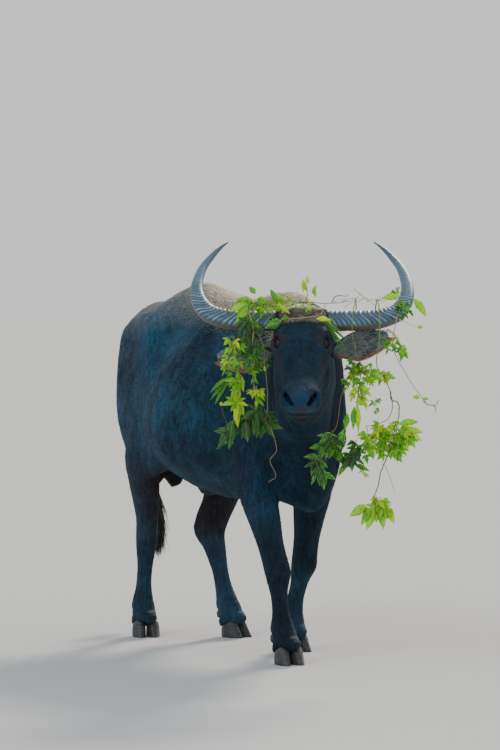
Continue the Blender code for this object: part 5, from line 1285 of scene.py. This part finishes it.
class Foliage:
    """Points, faces and leaf coordinates of many leaflets and stems, gathered for one piece."""

    def __init__(self, seed):
        self.points, self.faces, self.ways, self.kinds = [], [], [], []
        self.count = 0
        self.chance = random.Random(seed)

    def take(self, rings, ways, kind):
        sides = len(rings[0])
        base = self.count
        for ring, way in zip(rings, ways):
            self.points += ring
            self.ways += way
        self.count += len(rings) * sides
        for face in ring_faces(len(rings), sides):
            self.faces.append(tuple(base + i for i in face))
            self.kinds.append(kind)

    def leaflet(self, base, way, face, length, width, tone):
        """A pointed leaflet, folded along its midrib, wavy at the rim and bent down at the tip."""
        across = way.cross(face).normalized()
        face = across.cross(way).normalized()
        fold, droop = self.chance.uniform(0.10, 0.32), self.chance.uniform(0.05, 0.35)
        twist, phase = self.chance.uniform(-0.5, 0.5), self.chance.uniform(0, 6.28)
        rings, ways = [], []
        for share, broad in LEAFLET_SHAPE:
            middle = (base + way * (length * share * (1 - 0.08 * droop))
                      - face * (droop * length * share ** 2 * 0.5))
            middle -= UP * (0.10 * length * share ** 2)
            turned = across * math.cos(twist * share) + face * math.sin(twist * share)
            lifted = face * math.cos(twist * share) - across * math.sin(twist * share)
            top, under, marks = [], [], []
            for u in (-1.0, -0.5, 0.0, 0.5, 1.0):
                wave = 0.035 * width * math.sin(phase + 9 * share + 2 * u) * abs(u)
                place = (middle + turned * (u * broad * width / 2)
                         + lifted * (fold * abs(u) * broad * width / 2 + wave))
                top.append(place)
                if abs(u) < 1:
                    under.append(place - lifted * LEAF_THICKNESS)
                marks.append((u * broad, share, tone))
            rings.append(top + under[::-1])
            ways.append(marks + [marks[3], marks[2], marks[1]])
        self.take(rings, ways, 0)

    def stem(self, path, thick, thin, tone, kind=1):
        """A round stem along a smooth path, a little knotty."""
        path = smooth_rows(np.array([tuple(p) for p in path]), 5)
        way = np.gradient(path, axis=0)
        rings, ways = [], []
        for i, (place, along) in enumerate(zip(path, way)):
            along = Vector(along).normalized()
            across = along.cross(Vector((0.31, 0.90, 0.12))).normalized()
            other = along.cross(across)
            share = i / (len(path) - 1)
            radius = (thick + (thin - thick) * share) * (1 + 0.12 * math.sin(i * 2.1))
            shift = Vector((math.sin(i * 1.7), math.cos(i * 1.3), math.sin(i * 0.9))) * (thick * 0.25)
            ring = [Vector(place) + shift + (across * math.cos(t) + other * math.sin(t)) * radius
                    for t in (math.tau * k / STEM_SIDES for k in range(STEM_SIDES))]
            rings.append(ring)
            ways.append([(2 * k / STEM_SIDES - 1, share * 4, tone) for k in range(STEM_SIDES)])
        self.take(rings, ways, kind)

    def leaf(self, base, way, face, length, leaflets, tone):
        """A stalk with two to five leaflets that fan from its end."""
        chance = self.chance
        stalk = length * chance.uniform(0.3, 0.6)
        end = base + way * stalk - UP * (0.1 * stalk)
        self.stem((base, base + way * (stalk * 0.5), end), 0.0008, 0.0006, 0.4 + 0.5 * tone, 0)
        across = way.cross(face).normalized()
        half = (leaflets - 1) / 2
        for k in range(leaflets):
            away = (k - half) / max(half, 1)
            turn = LEAF_FAN * away * chance.uniform(0.8, 1.15)
            along = (way * math.cos(turn) + across * math.sin(turn)
                     + face * chance.uniform(-0.2, 0.2)).normalized()
            size = length * (1 - 0.32 * abs(away)) * chance.uniform(0.85, 1.15)
            look = (face + across * chance.uniform(-0.4, 0.4)
                    + way * chance.uniform(-0.3, 0.3)).normalized()
            self.leaflet(end, along, look, size, size * chance.uniform(0.36, 0.48),
                         tone + chance.uniform(-0.06, 0.06))

    def cluster(self, out, height, ahead, reach_out, reach_high, leaves, length, tone, leaflets=4):
        """Leaves that spread from the middle of a cluster, the lower ones hanging."""
        chance = self.chance
        centre = strand_place(out, height, ahead)
        for k in range(leaves):
            turn = 2.4 * k + chance.uniform(-0.4, 0.4)
            spread = math.sqrt((k + 0.6) / leaves)
            aside, high = math.sin(turn) * spread, math.cos(turn) * spread
            base = (centre + LEFT * (aside * reach_out) + UP * (high * reach_high)
                    + AHEAD * chance.uniform(-0.022, 0.022))
            way = (LEFT * (aside * 1.2 + chance.uniform(-0.3, 0.3)) + UP * (high * 0.5 - 0.75)
                   + AHEAD * chance.uniform(-0.1, 0.5)).normalized()
            face = (AHEAD + LEFT * chance.uniform(-0.6, 0.6) + UP * chance.uniform(-0.1, 0.8)).normalized()
            start = base - way * (length * 0.7)
            self.leaf(start, way, face, length * chance.uniform(0.75, 1.15),
                      leaflets + chance.choice((-1, 0, 0, 1)),
                      min(1.0, max(0.0, tone + chance.uniform(-0.16, 0.16))))
            if k % 2:
                middle = (centre + start) / 2 + AHEAD * 0.01
                self.stem((centre, middle, start), 0.0011, 0.0008, 0.5 * tone + 0.2)

    def lone(self, ahead, lean, face, rows):
        """Leaflets on their own. A row says out, height, way out, way up, length, width and tone."""
        for out, height, way_out, way_up, length, width, tone in rows:
            way = (LEFT * way_out + UP * way_up + AHEAD * lean).normalized()
            self.leaflet(strand_place(out, height, ahead), way, face.normalized(), length, width, tone)

    def finished(self, name, node):
        mesh = bpy.data.meshes.new(name)
        mesh.from_pydata([tuple(p) for p in self.points], [], self.faces)
        mesh.update()
        mesh.materials.append(leaf_finish)
        mesh.materials.append(stem_finish)
        mesh.polygons.foreach_set("material_index", self.kinds)
        mesh.polygons.foreach_set("use_smooth", [True] * len(mesh.polygons))
        store(mesh, self.ways, "leafway", "FLOAT_VECTOR")
        made = bpy.data.objects.new(name, mesh)
        bpy.context.scene.collection.objects.link(made)
        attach(made, "root")
        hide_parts(node)


# Fresh leaves: thin, waxy, with a pale midrib and side veins, from yellow-green to dark green;
# the tone, set leaf by leaf, is partly painted sunlight and painted shade.
leaf_finish, tree, shader = finish_named("fresh_waxy_leaf")
way = add(tree, "ShaderNodeAttribute", attribute_name="leafway")
parts = add(tree, "ShaderNodeSeparateXYZ", {"Vector": way.outputs["Vector"]})
place = add(tree, "ShaderNodeTexCoord").outputs["Object"]
green = add(tree, "ShaderNodeValToRGB", {"Fac": parts.outputs["Z"]},
            stops=((0.0, "#12332a"), (0.28, "#164e1a"), (0.52, "#37880f"), (0.76, "#6ab408"),
                   (1.0, "#b8da0a")))
blotch = add(tree, "ShaderNodeTexNoise", {"Vector": place, "Scale": 95.0, "Detail": 6.0, "Roughness": 0.65})
blotched = add(tree, "ShaderNodeMapRange",
               {"Value": blotch.outputs["Fac"], "From Min": 0.3, "From Max": 0.7,
                "To Min": 0.72, "To Max": 1.22})
mixed = add(tree, "ShaderNodeMix", data_type="RGBA", blend_type="MULTIPLY", inputs={
    0: 1.0, 6: green.outputs["Color"], 7: blotched.outputs["Result"]})
aside = add(tree, "ShaderNodeMath", {0: parts.outputs["X"]}, operation="ABSOLUTE")
midrib = add(tree, "ShaderNodeMapRange",
             {"Value": aside.outputs["Value"], "From Max": 0.09, "To Min": 1.0, "To Max": 0.0})
lean = add(tree, "ShaderNodeMath", {0: aside.outputs["Value"], 1: -4.2}, operation="MULTIPLY")
along = add(tree, "ShaderNodeMath", {0: parts.outputs["Y"], 1: 11.0, 2: lean.outputs["Value"]},
            operation="MULTIPLY_ADD")
wave = add(tree, "ShaderNodeMath", {0: along.outputs["Value"], 1: 6.2832}, operation="MULTIPLY")
sine = add(tree, "ShaderNodeMath", {0: wave.outputs["Value"]}, operation="SINE")
side_veins = add(tree, "ShaderNodeMapRange",
                 {"Value": sine.outputs["Value"], "From Min": 0.80, "From Max": 1.0, "To Max": 0.55})
veins = add(tree, "ShaderNodeMath", {0: midrib.outputs["Result"], 1: side_veins.outputs["Result"]},
            operation="MAXIMUM")
veined = add(tree, "ShaderNodeMath", {0: veins.outputs["Value"], 1: 0.30}, operation="MULTIPLY")
leafy = add(tree, "ShaderNodeMix", data_type="RGBA", inputs={
    0: veined.outputs["Value"], 6: mixed.outputs[2], 7: linear("#c2dc5a")})
rusty = add(tree, "ShaderNodeTexNoise", {"Vector": place, "Scale": 42.0, "Detail": 5.0})
spots = add(tree, "ShaderNodeMapRange",
            {"Value": rusty.outputs["Fac"], "From Min": 0.66, "From Max": 0.74, "To Max": 0.7})
spotted = add(tree, "ShaderNodeMix", data_type="RGBA", inputs={
    0: spots.outputs["Result"], 6: leafy.outputs[2], 7: linear("#6d4a1c")})
tree.links.new(spotted.outputs[2], shader.inputs["Base Color"])
shader.inputs["Roughness"].default_value = 0.42
shader.inputs["Specular IOR Level"].default_value = 0.35
shader.inputs["Subsurface Weight"].default_value = 0.35
shader.inputs["Subsurface Radius"].default_value = (0.5, 1.0, 0.15)
shader.inputs["Subsurface Scale"].default_value = 0.004
raised = add(tree, "ShaderNodeBump",
             {"Height": veins.outputs["Value"], "Strength": 0.6, "Distance": 0.0008})
pucker = add(tree, "ShaderNodeBump", {"Height": blotch.outputs["Fac"], "Strength": 0.4, "Distance": 0.0010,
                                      "Normal": raised.outputs["Normal"]})
tree.links.new(pucker.outputs["Normal"], shader.inputs["Normal"])

# Stems: green where young, straw and brown bark where dry, with lengthwise grain.
stem_finish, tree, shader = finish_named("creeper_stem")
way = add(tree, "ShaderNodeAttribute", attribute_name="leafway")
parts = add(tree, "ShaderNodeSeparateXYZ", {"Vector": way.outputs["Vector"]})
bark = add(tree, "ShaderNodeValToRGB", {"Fac": parts.outputs["Z"]},
           stops=((0.0, "#4a3020"), (0.3, "#8a6a48"), (0.45, "#c3ab84"), (0.62, "#6d7a2e"),
                  (1.0, "#8aa632")))
grain_way = add(tree, "ShaderNodeMapping", {"Vector": way.outputs["Vector"], "Scale": (2.0, 14.0, 1.0)})
grain = add(tree, "ShaderNodeTexNoise",
            {"Vector": grain_way.outputs["Vector"], "Scale": 2.0, "Detail": 6.0, "Roughness": 0.7})
grained = add(tree, "ShaderNodeMapRange", {"Value": grain.outputs["Fac"], "From Min": 0.3, "From Max": 0.7,
                                           "To Min": 0.6, "To Max": 1.25})
barked = add(tree, "ShaderNodeMix", data_type="RGBA", blend_type="MULTIPLY", inputs={
    0: 1.0, 6: bark.outputs["Color"], 7: grained.outputs["Result"]})
tree.links.new(barked.outputs[2], shader.inputs["Base Color"])
shader.inputs["Roughness"].default_value = 0.62
rough_bark = add(tree, "ShaderNodeBump",
                 {"Height": grain.outputs["Fac"], "Strength": 0.6, "Distance": 0.0006})
tree.links.new(rough_bark.outputs["Normal"], shader.inputs["Normal"])


def places(*rows):
    return [strand_place(*row) for row in rows]


# On the crown: a tangle of small leaves over the right horn's root, big leaves that point down
# to the right, an upright sprig, a round leaf, and a thin stem across the forehead.
crown = Foliage(11)
crown.stem(places((-0.280, 1.330, -0.010), (-0.235, 1.352, 0.000), (-0.190, 1.360, -0.006),
                  (-0.140, 1.366, 0.012),
                  (-0.090, 1.370, 0.026), (-0.030, 1.366, 0.036), (0.030, 1.362, 0.036),
                  (0.085, 1.358, 0.030),
                  (0.130, 1.360, 0.016), (0.170, 1.366, 0.006)), 0.0024, 0.0014, 0.55)
crown.stem(places((0.084, 1.356, 0.034), (0.066, 1.318, 0.058), (0.010, 1.306, 0.064),
                  (-0.060, 1.300, 0.060),
                  (-0.105, 1.285, 0.050)), 0.0017, 0.0012, 0.40)
crown.stem(places((0.012, 1.362, 0.036), (0.020, 1.392, 0.028), (0.014, 1.425, 0.020),
                  (0.020, 1.458, 0.016)), 0.0015, 0.0009, 0.30)
for cluster in (
        (-0.120, 1.352, 0.034, 0.060, 0.030, 20, 0.022, 0.78, 3),
        (-0.165, 1.348, 0.030, 0.045, 0.028, 12, 0.026, 0.62, 3),
        (-0.060, 1.358, 0.040, 0.040, 0.020, 9, 0.018, 0.92, 3),
        (0.020, 1.350, 0.044, 0.030, 0.014, 5, 0.018, 0.90, 3)):
    crown.cluster(*cluster)
for out, height, ahead, way_out, way_up, length, width, tone in (
        (-0.200, 1.362, 0.040, -1.0, -0.45, 0.070, 0.034, 0.80),
        (-0.196, 1.350, 0.044, -0.75, -0.95, 0.072, 0.036, 0.72),
        (-0.182, 1.368, 0.030, -0.9, 0.15, 0.060, 0.028, 0.66),
        (-0.170, 1.392, 0.014, -0.5, 0.7, 0.040, 0.022, 0.60),
        (-0.090, 1.362, 0.036, -0.45, 0.95, 0.060, 0.022, 0.46),
        (-0.078, 1.366, 0.030, 0.15, 0.95, 0.030, 0.018, 0.70),
        (-0.084, 1.352, 0.046, 0.85, -0.55, 0.048, 0.020, 0.92),
        (-0.075, 1.292, 0.074, -0.9, -0.25, 0.064, 0.050, 0.30),
        (-0.050, 1.306, 0.068, -0.8, -0.1, 0.028, 0.024, 0.38),
        (0.050, 1.302, 0.072, 0.95, 0.05, 0.058, 0.022, 0.98),
        (0.078, 1.300, 0.070, 0.9, -0.4, 0.034, 0.018, 0.70),
        (0.004, 1.398, 0.026, 0.05, 1.0, 0.058, 0.018, 0.96),
        (0.018, 1.400, 0.024, -0.35, 0.95, 0.050, 0.016, 0.85),
        (0.022, 1.430, 0.020, -0.1, 1.0, 0.030, 0.014, 0.95),
        (0.036, 1.392, 0.020, 0.4, 0.9, 0.040, 0.015, 0.80),
        (0.040, 1.410, 0.020, 0.3, -0.8, 0.030, 0.014, 0.74)):
    leading = (LEFT * way_out + UP * way_up + AHEAD * 0.15).normalized()
    crown.leaflet(strand_place(out, height, ahead), leading, (AHEAD + UP * 0.3 + LEFT * 0.2).normalized(),
                  length, width, tone)
for k, (reach, fall) in enumerate(((0.100, 0.040), (0.112, 0.075), (0.098, 0.105), (0.080, 0.120))):
    start = strand_place(0.060 + 0.006 * k, 1.300, 0.074)
    leading = (LEFT * reach - UP * fall + AHEAD * 0.01).normalized()
    crown.leaflet(start, leading, (AHEAD + UP * 0.5).normalized(), math.hypot(reach, fall), 0.010, 0.36)
for k in range(7):
    out, chance = 0.115 + 0.030 * k, crown.chance
    crown.stem(places((out, 1.362 + 0.002 * (k % 3), 0.006),
                      (out + 0.020, 1.372 + 0.010 * chance.random(), -0.004),
                      (out + 0.050, 1.366 + 0.012 * chance.random(), 0.004)), 0.0013, 0.0008, 0.44)
crown.stem(places((0.110, 1.362, 0.008), (0.116, 1.380, 0.008), (0.136, 1.386, 0.008),
                  (0.162, 1.384, 0.010), (0.166, 1.392, 0.010)), 0.0020, 0.0010, 0.12)
crown.stem(places((0.186, 1.412, -0.012), (0.222, 1.382, -0.004), (0.262, 1.352, 0.006)), 0.0012, 0.0009,
           0.20)
crown.stem(places((0.150, 1.342, 0.008), (0.186, 1.366, 0.002), (0.214, 1.398, -0.008)), 0.0012, 0.0008,
           0.42)
crown.finished("vine_crown_leafy", "vine_crown")

# Beside the right cheek: dark leaves close to the horn, bright clusters lower down, a star of
# leaves, pale drooping leaflets, large dark leaves at the end, and a bare stem that hangs on.
right = Foliage(22)
right.stem(places((-0.182, 1.300, -0.090), (-0.186, 1.356, -0.052), (-0.192, 1.374, -0.010),
                  (-0.196, 1.330, 0.050),
                  (-0.205, 1.260, 0.060), (-0.228, 1.180, 0.056), (-0.240, 1.100, 0.052),
                  (-0.238, 1.020, 0.052),
                  (-0.232, 0.960, 0.052)), 0.0024, 0.0012, 0.62)
right.stem(places((-0.196, 1.326, 0.050), (-0.176, 1.270, 0.062), (-0.184, 1.180, 0.064),
                  (-0.178, 1.090, 0.060),
                  (-0.168, 1.000, 0.056), (-0.172, 0.930, 0.052)), 0.0020, 0.0012, 0.50)
right.stem(places((-0.178, 1.280, 0.062), (-0.142, 1.210, 0.066), (-0.134, 1.130, 0.068),
                  (-0.126, 1.050, 0.066),
                  (-0.124, 0.960, 0.062), (-0.110, 0.896, 0.058), (-0.092, 0.826, 0.056),
                  (-0.117, 0.786, 0.054),
                  (-0.095, 0.731, 0.052), (-0.124, 0.706, 0.052)), 0.0014, 0.0009, 0.34)
right.stem(places((-0.240, 1.110, 0.052), (-0.262, 1.050, 0.056), (-0.292, 1.000, 0.058),
                  (-0.285, 0.950, 0.056),
                  (-0.262, 0.905, 0.054)), 0.0011, 0.0008, 0.10)
for cluster in (
        (-0.190, 1.262, 0.062, 0.042, 0.050, 12, 0.040, 0.22, 4),
        (-0.185, 1.190, 0.056, 0.040, 0.060, 11, 0.044, 0.16, 4),
        (-0.250, 1.185, 0.066, 0.042, 0.050, 15, 0.030, 0.84, 3),
        (-0.262, 1.130, 0.066, 0.030, 0.034, 8, 0.026, 0.72, 3),
        (-0.178, 1.120, 0.064, 0.024, 0.040, 7, 0.032, 0.58, 3),
        (-0.130, 1.145, 0.068, 0.018, 0.020, 5, 0.016, 0.34, 3),
        (-0.240, 1.060, 0.066, 0.030, 0.020, 6, 0.040, 0.82, 3),
        (-0.168, 1.030, 0.066, 0.030, 0.022, 7, 0.034, 0.88, 3),
        (-0.250, 0.900, 0.050, 0.020, 0.020, 4, 0.070, 0.14, 3),
        (-0.168, 0.935, 0.050, 0.040, 0.040, 8, 0.066, 0.18, 3),
        (-0.130, 0.950, 0.056, 0.024, 0.016, 5, 0.040, 0.30, 3)):
    right.cluster(*cluster)
star = strand_place(-0.238, 1.000, 0.070)
for turn, length, tone in ((265, 0.060, 0.84), (300, 0.048, 0.70), (345, 0.052, 0.92), (20, 0.046, 0.88),
                           (60, 0.040, 0.76),
                           (100, 0.046, 0.90), (215, 0.040, 0.66), (180, 0.066, 0.94), (160, 0.050, 0.80)):
    leading = LEFT * math.sin(math.radians(turn)) + UP * math.cos(math.radians(turn)) + AHEAD * 0.25
    right.leaflet(star, leading.normalized(), (AHEAD + UP * 0.4).normalized(), length, length * 0.38, tone)
right.lone(0.068, 0.12, AHEAD + UP * 0.35 - LEFT * 0.2, (
        (-0.238, 0.982, 0.04, -1.0, 0.072, 0.026, 0.97), (-0.226, 0.996, 0.35, -1.0, 0.050, 0.020, 0.86),
        (-0.266, 1.090, -0.90, -0.55, 0.085, 0.018, 0.44),
        (-0.266, 1.084, -0.60, -0.95, 0.100, 0.022, 0.40),
        (-0.270, 1.078, -0.80, -0.75, 0.092, 0.016, 0.34), (-0.235, 1.120, 0.10, -1.0, 0.090, 0.022, 0.62),
        (-0.224, 1.100, 0.2, -1.0, 0.060, 0.022, 0.86), (-0.292, 1.000, -0.3, -0.9, 0.014, 0.012, 0.95),
        (-0.136, 1.130, 0.1, -1.0, 0.018, 0.012, 0.90), (-0.252, 0.930, -0.15, -1.0, 0.095, 0.042, 0.20),
        (-0.205, 0.930, 0.1, -1.0, 0.070, 0.040, 0.12)))
right.finished("vine_right_leafy", "vine_right")

# Beyond the left ear: sprigs on the horn, a long stem that ends in two big clusters, one
# below the other, and a stick that juts out with a dry hooked end.
outer = Foliage(33)
outer.stem(places((0.262, 1.300, -0.110), (0.270, 1.360, -0.060), (0.276, 1.370, -0.014),
                  (0.281, 1.310, 0.052),
                  (0.280, 1.220, 0.084), (0.270, 1.150, 0.090), (0.276, 1.120, 0.090),
                  (0.296, 1.096, 0.090)), 0.0022, 0.0018, 0.72)
outer.stem(places((0.321, 1.040, 0.088), (0.324, 1.010, 0.088), (0.348, 0.998, 0.088),
                  (0.352, 0.960, 0.088),
                  (0.345, 0.915, 0.088), (0.340, 0.880, 0.088)), 0.0030, 0.0020, 0.80)
outer.stem(places((0.296, 1.096, 0.090), (0.312, 1.060, 0.090), (0.322, 1.030, 0.090),
                  (0.328, 0.985, 0.090),
                  (0.312, 0.940, 0.090), (0.270, 0.920, 0.088), (0.230, 0.912, 0.086)), 0.0020, 0.0012,
           0.16)
outer.stem(places((0.330, 0.860, 0.088), (0.308, 0.800, 0.088), (0.296, 0.772, 0.088),
                  (0.284, 0.740, 0.088), (0.276, 0.695, 0.088),
                  (0.262, 0.655, 0.088), (0.268, 0.620, 0.088)), 0.0026, 0.0018, 0.74)
outer.stem(places((0.300, 0.775, 0.086), (0.322, 0.720, 0.086), (0.338, 0.668, 0.084)), 0.0010, 0.0006,
           0.10)
outer.stem(places((0.276, 1.368, -0.014), (0.318, 1.378, -0.012), (0.352, 1.358, 0.010),
                  (0.340, 1.285, 0.046),
                  (0.326, 1.215, 0.070), (0.340, 1.170, 0.074), (0.372, 1.110, 0.076),
                  (0.410, 1.050, 0.076), (0.446, 1.002, 0.074)), 0.0017, 0.0015, 0.38)
outer.stem(places((0.440, 1.004, 0.074), (0.456, 0.992, 0.074), (0.478, 0.988, 0.074),
                  (0.490, 0.996, 0.074), (0.495, 1.012, 0.074)), 0.0024, 0.0010, 0.30)
outer.stem(places((0.474, 0.990, 0.074), (0.484, 0.980, 0.074), (0.482, 0.962, 0.074)), 0.0018, 0.0010,
           0.26)
outer.stem(places((0.352, 1.300, 0.050), (0.380, 1.288, 0.052), (0.406, 1.274, 0.052),
                  (0.424, 1.272, 0.052)), 0.0012, 0.0009, 0.44)
outer.stem(places((0.310, 1.262, 0.056), (0.322, 1.256, 0.064), (0.334, 1.246, 0.062),
                  (0.338, 1.232, 0.056), (0.330, 1.222, 0.060)), 0.0052, 0.0030, 0.45)
for cluster in (
        (0.330, 1.205, 0.072, 0.036, 0.032, 11, 0.026, 0.60, 3),
        (0.365, 1.185, 0.074, 0.020, 0.018, 5, 0.026, 0.64, 3),
        (0.375, 1.340, 0.030, 0.030, 0.024, 6, 0.030, 0.30, 3),
        (0.342, 1.404, 0.000, 0.014, 0.016, 5, 0.016, 0.58, 3),
        (0.300, 1.092, 0.092, 0.030, 0.018, 7, 0.038, 0.84, 3),
        (0.270, 0.992, 0.090, 0.016, 0.030, 5, 0.022, 0.50, 3),
        (0.330, 0.878, 0.094, 0.075, 0.050, 24, 0.038, 0.78, 4),
        (0.270, 0.880, 0.090, 0.050, 0.040, 14, 0.034, 0.88, 3),
        (0.320, 0.830, 0.092, 0.055, 0.036, 15, 0.040, 0.66, 4),
        (0.235, 0.835, 0.088, 0.020, 0.034, 6, 0.034, 0.60, 3),
        (0.274, 0.622, 0.092, 0.044, 0.026, 10, 0.046, 0.82, 4)):
    outer.cluster(*cluster)
outer.lone(0.040, 0.10, AHEAD + UP * 0.4 + LEFT * 0.1, (
        (0.292, 1.376, 1.0, 0.25, 0.070, 0.030, 0.84), (0.405, 1.375, 0.75, -0.85, 0.075, 0.030, 0.80),
        (0.420, 1.272, 0.9, 0.1, 0.020, 0.018, 0.86), (0.422, 1.278, 0.5, -0.7, 0.016, 0.012, 0.90)))
outer.lone(0.090, 0.10, AHEAD + UP * 0.4 + LEFT * 0.1, (
        (0.428, 1.016, -0.8, 0.2, 0.030, 0.018, 0.84), (0.434, 1.012, 0.9, 0.1, 0.028, 0.014, 0.80),
        (0.350, 0.920, 1.0, 0.28, 0.076, 0.028, 0.72), (0.366, 0.902, 1.0, -0.02, 0.074, 0.028, 0.82),
        (0.372, 0.892, 0.95, -0.35, 0.068, 0.028, 0.88), (0.345, 0.905, 0.75, -0.55, 0.080, 0.034, 0.72),
        (0.236, 0.625, -0.75, -0.35, 0.072, 0.036, 0.84), (0.262, 0.622, -0.35, -1.0, 0.085, 0.036, 0.80),
        (0.280, 0.620, 0.25, -1.0, 0.076, 0.034, 0.74), (0.300, 0.626, 0.55, -0.85, 0.070, 0.034, 0.86),
        (0.252, 0.618, -0.55, -0.8, 0.070, 0.030, 0.76)))
outer.finished("vine_left_outer_leafy", "vine_left_outer")

# Under the left ear: bright clusters, a long hanging leaf, and dark fronds against the breast.
inner = Foliage(44)
inner.stem(places((0.196, 1.292, -0.100), (0.196, 1.360, -0.058), (0.194, 1.372, -0.014),
                  (0.186, 1.326, 0.036),
                  (0.182, 1.255, 0.040), (0.196, 1.180, 0.040), (0.212, 1.110, 0.040),
                  (0.206, 1.040, 0.040),
                  (0.198, 0.980, 0.040), (0.200, 0.930, 0.040)), 0.0021, 0.0012, 0.60)
inner.stem(places((0.210, 1.120, 0.040), (0.165, 1.080, 0.044), (0.140, 1.010, 0.046),
                  (0.128, 0.920, 0.048),
                  (0.100, 0.872, 0.050), (0.075, 0.818, 0.052), (0.062, 0.750, 0.052),
                  (0.070, 0.690, 0.052)), 0.0015, 0.0009, 0.30)
inner.stem(places((0.235, 0.915, 0.060), (0.240, 0.860, 0.060), (0.226, 0.800, 0.058),
                  (0.224, 0.740, 0.056)), 0.0012, 0.0008, 0.55)
for cluster in (
        (0.225, 1.100, 0.050, 0.050, 0.040, 20, 0.030, 0.74, 4),
        (0.190, 1.130, 0.046, 0.028, 0.030, 8, 0.026, 0.40, 3),
        (0.212, 1.035, 0.050, 0.036, 0.026, 10, 0.034, 0.86, 3),
        (0.162, 1.070, 0.044, 0.016, 0.028, 5, 0.026, 0.66, 3),
        (0.100, 0.840, 0.044, 0.040, 0.040, 9, 0.058, 0.16, 3),
        (0.060, 0.760, 0.046, 0.026, 0.044, 7, 0.062, 0.10, 3),
        (0.185, 0.810, 0.050, 0.030, 0.040, 8, 0.052, 0.20, 4),
        (0.222, 0.745, 0.056, 0.012, 0.010, 3, 0.018, 0.78, 3)):
    inner.cluster(*cluster)
inner.lone(0.056, 0.08, AHEAD + UP * 0.3 + LEFT * 0.15, (
        (0.200, 0.995, 0.06, -1.0, 0.100, 0.022, 0.86), (0.190, 0.985, -0.05, -1.0, 0.080, 0.024, 0.52),
        (0.192, 1.000, 1.0, -0.05, 0.046, 0.022, 0.90), (0.165, 0.960, -0.15, -1.0, 0.060, 0.024, 0.46),
        (0.150, 0.900, -0.2, -1.0, 0.090, 0.040, 0.22), (0.190, 0.772, 0.9, -0.25, 0.060, 0.020, 0.34),
        (0.236, 0.880, 0.0, -1.0, 0.050, 0.020, 0.80), (0.244, 0.840, 0.35, -0.9, 0.048, 0.024, 0.66),
        (0.222, 0.742, 0.6, -0.3, 0.026, 0.014, 0.92)))
inner.finished("vine_left_inner_leafy", "vine_left_inner")
